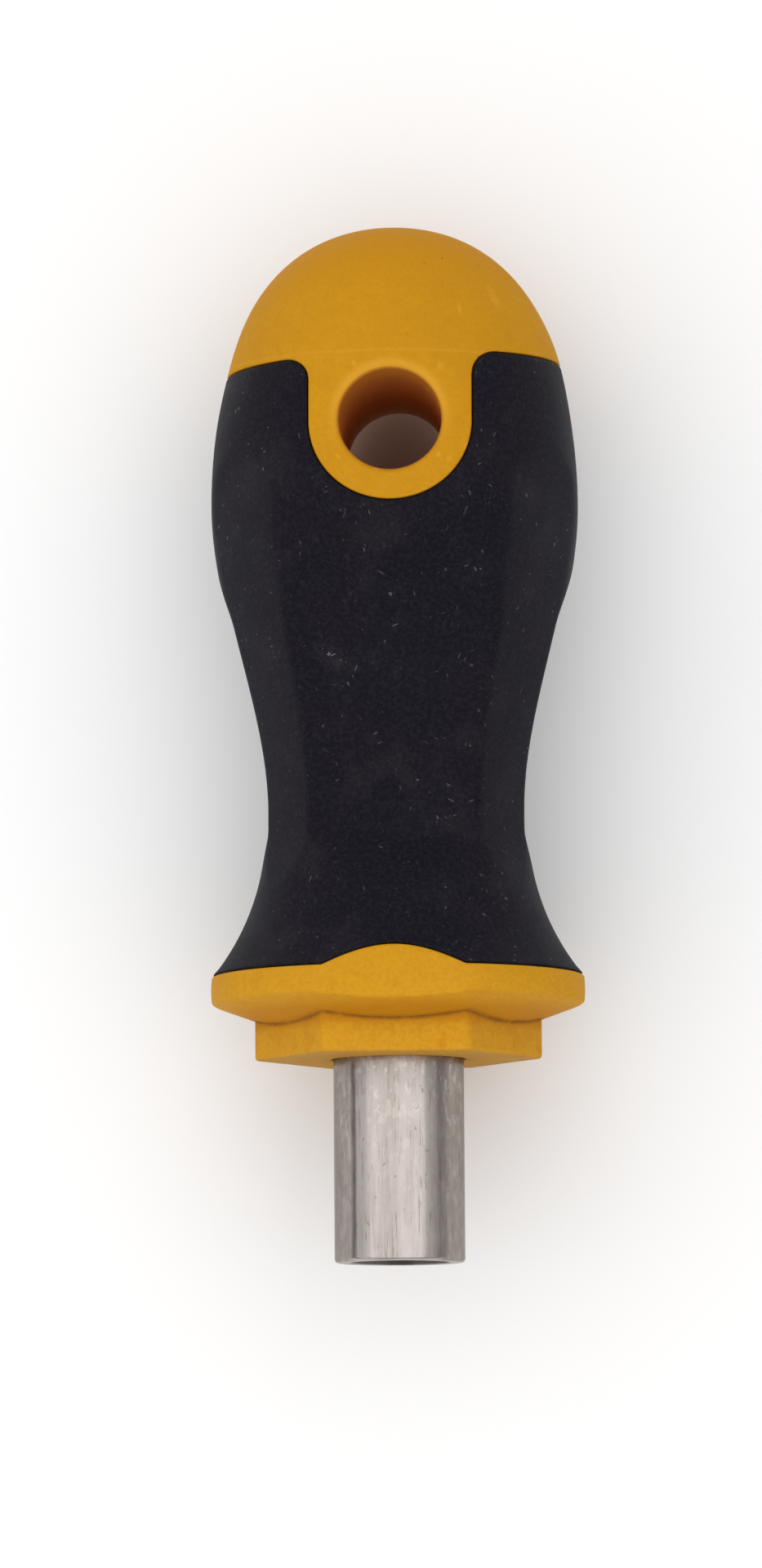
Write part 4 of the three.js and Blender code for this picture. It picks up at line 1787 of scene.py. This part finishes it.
    def build(self) -> bpy.types.Object:
        """Models the core and welds its skin together.

        Returns:
            The finished core.
        """
        skin = [
            *self.bore_loops(),
            *self.collar_loops(),
            *self.flange_loops(),
            *self.trunk_loops(),
            *self.seam_loops(),
        ]
        parts = [
            formed_tube("core_skin", [row.points(self.resting) for row in skin]),
            formed_tube("dome_skin", [row.points(self.resting) for row in self.dome_loops()]),
            formed_tube("hole_skin", [row.points(self.resting) for row in self.hole_loops()]),
        ]
        core = joined("handle_core_moulding", parts)
        smooth_by_angle(core, SMOOTH_ANGLE)
        return core

    def dress(self, core: bpy.types.Object, effects: SharedEffects) -> None:
        """Covers the core in yellow plastic and puts it in its CAD node's place."""
        cover(core, YellowPlastic().material(effects))
        hand_over(core, "handle_core")


@dataclass
class SoftGrip:
    """Soft sleeve moulded round the core, with openings for the lug and the flats."""

    form: HandleForm
    seam: SeamLoops
    resting: Resting
    gap: float = 0.13
    edge: float = 0.16
    lip: float = 0.09
    lip_reach: float = 0.7
    wall: float = 1.95
    edge_rows: int = 4
    body_rows: int = 128
    body_sweep: float = 6.0
    inner_rows: int = 11
    inner_sweep: float = 3.0

    def outer_loop(self, spread: float, depth: float) -> Loop:
        """The row along the lower seam at a distance above it and a depth.

        Args:
            spread: distance above the seam.
            depth: depth under the surface.

        Returns:
            The row.
        """
        form = self.form
        angle = self.seam.angles
        height = form.seam_foot(angle) + spread
        return Loop.polar(angle, self.outer_radius(angle, height) - depth, height)

    def outer_radius(self, angle: Array, height: Array) -> Array:
        """Radius of the grip, whose lower edge stands a little proud of the flange.

        Args:
            angle: angles round the axis, from the front.
            height: heights from the nose.

        Returns:
            The radii.
        """
        above = height - self.form.seam_foot(angle)
        proud = self.lip * (1 - smoothstep(above, 0.0, self.lip_reach))
        return self.form.radius(angle, height) + proud

    def body_loops(self) -> list[Loop]:
        """Rows over the outside, between the two edges.

        Returns:
            The rows, from the lower edge up.
        """
        low = self.outer_loop(self.gap + self.edge, 0)
        high = self.seam.loop(self.gap + self.edge, 0)
        angle = self.seam.angles
        turn = from_nearest(high.angle - angle, FULL_TURN)
        rows = [low]
        for share in np.linspace(0, 1, self.body_rows + 1)[1:-1]:
            there = angle + turn * share**self.body_sweep
            level = low.height + (high.height - low.height) * share
            rows.append(Loop.polar(there, self.outer_radius(there, level), level))
        return [*rows, high]

    def inner_loops(self) -> list[Loop]:
        """Rows down the inside, from the upper wall to the lower one.

        Returns:
            The rows, in that order.
        """
        form = self.form
        low = self.outer_loop(self.gap, self.wall)
        high = self.seam.loop(self.gap, self.wall)
        angle = self.seam.angles
        turn = from_nearest(high.angle - angle, FULL_TURN)
        rows = [high]
        for share in np.linspace(1, 0, self.inner_rows + 1)[1:-1]:
            there = angle + turn * share**self.inner_sweep
            level = low.height + (high.height - low.height) * share
            rows.append(Loop.polar(there, form.radius(there, level) - self.wall, level))
        return [*rows, low]

    def build(self) -> bpy.types.Object:
        """Models the grip as one closed ring of rows.

        Returns:
            The finished grip.
        """
        round_ = edge_round(self.edge, self.edge_rows)
        lower = [self.outer_loop(self.gap + inset, depth) for inset, depth in round_[::-1]]
        upper = [self.seam.loop(self.gap + inset, depth) for inset, depth in round_[1:]]
        rows = [*lower[:-1], *self.body_loops(), *upper, *self.inner_loops(), lower[0]]
        grip = formed_tube("soft_grip_moulding", [row.points(self.resting) for row in rows])
        smooth_by_angle(grip, SMOOTH_ANGLE)
        return grip

    def dress(self, grip: bpy.types.Object, effects: SharedEffects) -> None:
        """Covers the grip in black rubber and puts it in its CAD node's place."""
        cover(grip, BlackRubber().material(effects))
        hand_over(grip, "soft_grip")


@dataclass
class BitSleeve:
    """Steel sleeve with a hexagon socket, a lead-in and a groove for the retaining ring."""

    resting: Resting
    radius: float = 5.2
    length: float = 24.96
    nose_edge: float = 0.3
    tail_edge: float = 0.3
    mouth_radius: float = 4.025
    socket_apothem: float = 3.2
    groove_radius: float = 4.3
    groove_from: float = 3.05
    groove_to: float = 4.15
    lead_in: float = 0.84
    socket_heights: tuple[float, ...] = (14.0, 12.0, 8.0)
    mouth_heights: tuple[float, ...] = (2.0, 1.0)
    edge_rows: int = 6
    body_rows: int = 24
    lead_rows: int = 12
    columns: int = 192
    crease_angle: float = 24
    # How much root tarnishing and painted shade the sleeve has.
    tarnish_and_shade_amount: float = 0.85

    def socket_radius(self, angle: Array, height: Array) -> Array:
        """Radius of the inside, where the lead-in cone runs out into the hexagon.

        Args:
            angle: angles round the axis, from the front.
            height: heights from the nose.

        Returns:
            The radii.
        """
        off = from_nearest(angle, SIXTH_TURN)
        hexagon = self.socket_apothem / np.cos(off)
        return np.maximum(hexagon, self.mouth_radius - height)

    def build(self) -> bpy.types.Object:
        """Models the sleeve as one closed ring of rows.

        Returns:
            The finished sleeve.
        """
        angle = np.arange(self.columns) * FULL_TURN / self.columns
        rows = []
        for depth, inset in edge_round(self.nose_edge, self.edge_rows)[::-1]:
            rows.append(Loop.polar(angle, self.radius - inset, depth))
        tail = self.length - self.tail_edge
        for height in np.linspace(self.nose_edge, tail, self.body_rows)[1:]:
            rows.append(Loop.polar(angle, self.radius, height))
        rows.append(Loop.polar(angle, self.radius - self.tail_edge, self.length))
        for height in (self.length, *self.socket_heights, self.groove_to):
            rows.append(Loop.polar(angle, self.socket_radius(angle, height), height))
        for height in (self.groove_to, self.groove_from):
            rows.append(Loop.polar(angle, self.groove_radius, height))
        lead = np.linspace(self.lead_in, 0, self.lead_rows)
        for height in (self.groove_from, *self.mouth_heights, *lead):
            rows.append(Loop.polar(angle, self.socket_radius(angle, height), height))
        rows.append(rows[0])
        sleeve = formed_tube("bit_sleeve_turning", [row.points(self.resting) for row in rows])
        smooth_by_angle(sleeve, self.crease_angle)
        return sleeve

    def dress(self, sleeve: bpy.types.Object, effects: SharedEffects) -> None:
        """Covers the sleeve in tarnished steel with painted shade and puts it in its CAD node's
        place.
        """
        cover(sleeve, DrawnSteel("stainless_steel", tarnish_and_shade_amount=self.tarnish_and_shade_amount).material(effects))
        hand_over(sleeve, "bit_sleeve")


@dataclass
class HiddenMetal:
    """The retaining ring, the magnet and the shank, which keep their CAD meshes."""

    ring: DrawnSteel = DrawnSteel("spring_steel", base=(0.42, 0.4, 0.38), roughness=0.25)
    magnet: DrawnSteel = DrawnSteel(
        "nickel_plated_magnet", base=(0.62, 0.62, 0.64), dull=(0.5, 0.5, 0.52), roughness=0.22
    )
    shank: DrawnSteel = DrawnSteel("bar_steel", base=(0.4, 0.38, 0.36), roughness=0.3)

    def dress(self, nodes: dict[str, bpy.types.Object], effects: SharedEffects
              ) -> list[bpy.types.Object]:
        """Covers each of the three CAD nodes in its own steel.

        Args:
            nodes: the CAD objects by the names of their nodes.
            effects: the groups that all finishes share.

        Returns:
            The three CAD objects.
        """
        steels = {"retaining_ring": self.ring, "socket_magnet": self.magnet, "hex_shank": self.shank}
        for name, steel in steels.items():
            cover(nodes[name], steel.material(effects))
        return [nodes[name] for name in steels]


class Hand(Enum):
    """Which side of the tool a card stands on."""

    LEFT = -1
    RIGHT = 1


@dataclass(frozen=True)
class Card:
    """A long upright card beside the tool, which only the metal mirrors.

    The fields are its name, the side on which it stands, how light it is, and the heights of
    its lower and upper edge in metres.
    """

    name: str
    side: Hand
    tone: float
    low: float
    high: float


@dataclass
class Studio:
    """Pale floor, soft light from above, cards for the metal to mirror, and the camera.

    The floor, the lamp and the cards are in metres, and the camera's places in millimetres.
    """

    floor_half: float = 4.0
    floor_color: Color = (0.97, 0.97, 0.97)
    floor_shade: Color = (0.47, 0.30, 0.22)
    floor_drop: float = 0.00002
    shade_reach: float = 0.02
    shade_samples: int = 16
    shade: Ramp = Ramp(0.08, 0.4)
    matt: float = 0.9
    sky_strength: float = 0.41
    lamp_power: float = 15.8
    lamp_size: float = 2.3
    lamp_place: tuple[float, float, float] = (-0.3, -0.15, 0.8)
    card_distance: float = 0.42
    cards: tuple[Card, ...] = (
        Card("left_dark", Hand.LEFT, 0.03, 0.0, 0.078),
        Card("left_pale", Hand.LEFT, 0.9, 0.078, 0.3),
        Card("right_low", Hand.RIGHT, 0.7, 0.0, 0.08),
        Card("right_high", Hand.RIGHT, 0.7, 0.17, 0.4),
    )
    card_half_length: float = 0.5
    lens: float = 224.1
    sensor: float = 36.0
    aim: tuple[float, float, float] = (-1.25, -3.23, 14.92)
    camera_distance: float = 780.0
    camera_across: float = 19.5
    tilt: float = math.radians(5.6)
    roll: float = math.radians(0.4)

    def build_floor(self) -> bpy.types.Object:
        """A wide pale floor that keeps shadows and reads as white.

        Returns:
            The floor.
        """
        clear_selection()
        place = (0, 0, -self.floor_drop)
        bpy.ops.mesh.primitive_plane_add(size=2 * self.floor_half, location=place)
        floor = bpy.context.object
        floor.name = "studio_floor"
        material, sheet, shader = new_material("studio_floor")
        shader.inputs["Roughness"].default_value = self.matt
        shader.inputs["Specular IOR Level"].default_value = 0.0
        # Painted shade: the floor's colour darkens where little light reaches it, under and beside
        # the tool.
        contact = sheet.add("ShaderNodeAmbientOcclusion", samples=self.shade_samples)
        contact.inputs["Distance"].default_value = self.shade_reach
        openness = sheet.ramp(contact.outputs["AO"], *self.shade)
        color = sheet.blend(openness, self.floor_shade, self.floor_color)
        sheet.put(shader.inputs["Base Color"], color)
        cover(floor, material)
        return floor

    def build_cards(self) -> list[bpy.types.Object]:
        """Stands up the cards that the metal mirrors.

        Returns:
            The cards.
        """
        made = []
        for card in self.cards:
            material, _, shader = new_material("studio_card_" + card.name)
            shader.inputs["Base Color"].default_value = (card.tone, card.tone, card.tone, 1.0)
            shader.inputs["Roughness"].default_value = self.matt
            clear_selection()
            place = (card.side.value * self.card_distance, 0, (card.low + card.high) / 2)
            bpy.ops.mesh.primitive_plane_add(size=1, location=place)
            board = bpy.context.object
            board.name = "studio_card_" + card.name
            board.rotation_euler = (0, QUARTER_TURN, 0)
            board.scale = (card.high - card.low, 2 * self.card_half_length, 1)
            board.visible_camera = False
            board.visible_diffuse = False
            board.visible_shadow = False
            cover(board, material)
            made.append(board)
        return made

    def build_light(self) -> None:
        """An even pale sky and a broad soft lamp above the tool."""
        world = bpy.data.worlds.new("studio_sky")
        world.use_nodes = True
        sky = world.node_tree.nodes["Background"]
        sky.inputs["Color"].default_value = (1.0, 1.0, 1.0, 1.0)
        sky.inputs["Strength"].default_value = self.sky_strength
        bpy.context.scene.world = world
        data = bpy.data.lights.new("overhead_lamp", "AREA")
        data.shape = "SQUARE"
        data.size = self.lamp_size
        data.energy = self.lamp_power
        lamp = bpy.data.objects.new("overhead_lamp", data)
        lamp.location = self.lamp_place
        bpy.context.scene.collection.objects.link(lamp)

    def build_camera(self) -> bpy.types.Object:
        """A long lens high over the tool, a little to its right and towards its nose.

        Returns:
            The camera.
        """
        data = bpy.data.cameras.new("camera")
        data.lens = self.lens
        data.sensor_width = self.sensor
        camera = bpy.data.objects.new("camera", data)
        bpy.context.scene.collection.objects.link(camera)
        aim = Vector(self.aim)
        across = self.camera_across - aim.x
        along = -self.camera_distance * math.sin(self.tilt)
        up = math.sqrt(self.camera_distance**2 - across**2 - along**2)
        offset = Vector((across, along, up))
        forward = -offset.normalized()
        right = forward.cross(Vector((0, 1, 0))).normalized()
        upward = right.cross(forward)
        turned_right = right * math.cos(self.roll) - upward * math.sin(self.roll)
        turned_up = upward * math.cos(self.roll) + right * math.sin(self.roll)
        camera.location = (aim + offset) * MM
        axes = np.array([turned_right, turned_up, -forward]).T
        camera.rotation_mode = "QUATERNION"
        camera.rotation_quaternion = Matrix(axes.tolist()).to_quaternion()
        bpy.context.scene.camera = camera
        return camera


def main() -> None:
    """Builds the pieces, dresses and reports them, and sets up the studio."""
    logging.basicConfig(level=logging.INFO, format="%(message)s")
    scene = bpy.context.scene
    scene.view_settings.view_transform = "Standard"
    form = HandleForm()
    seam = SeamLoops(form)
    resting = Resting()
    effects = SharedEffects()
    studio = Studio()
    studio.build_camera()

    parts = (HandleCore(form, seam, resting), SoftGrip(form, seam, resting), BitSleeve(resting))
    for part in parts:
        piece = part.build()
        part.dress(piece, effects)
        report(piece)
    for piece in HiddenMetal().dress(frame["nodes"], effects):
        report(piece)

    studio.build_floor()
    studio.build_cards()
    studio.build_light()
    clear_selection()


if __name__ == "__main__":
    main()
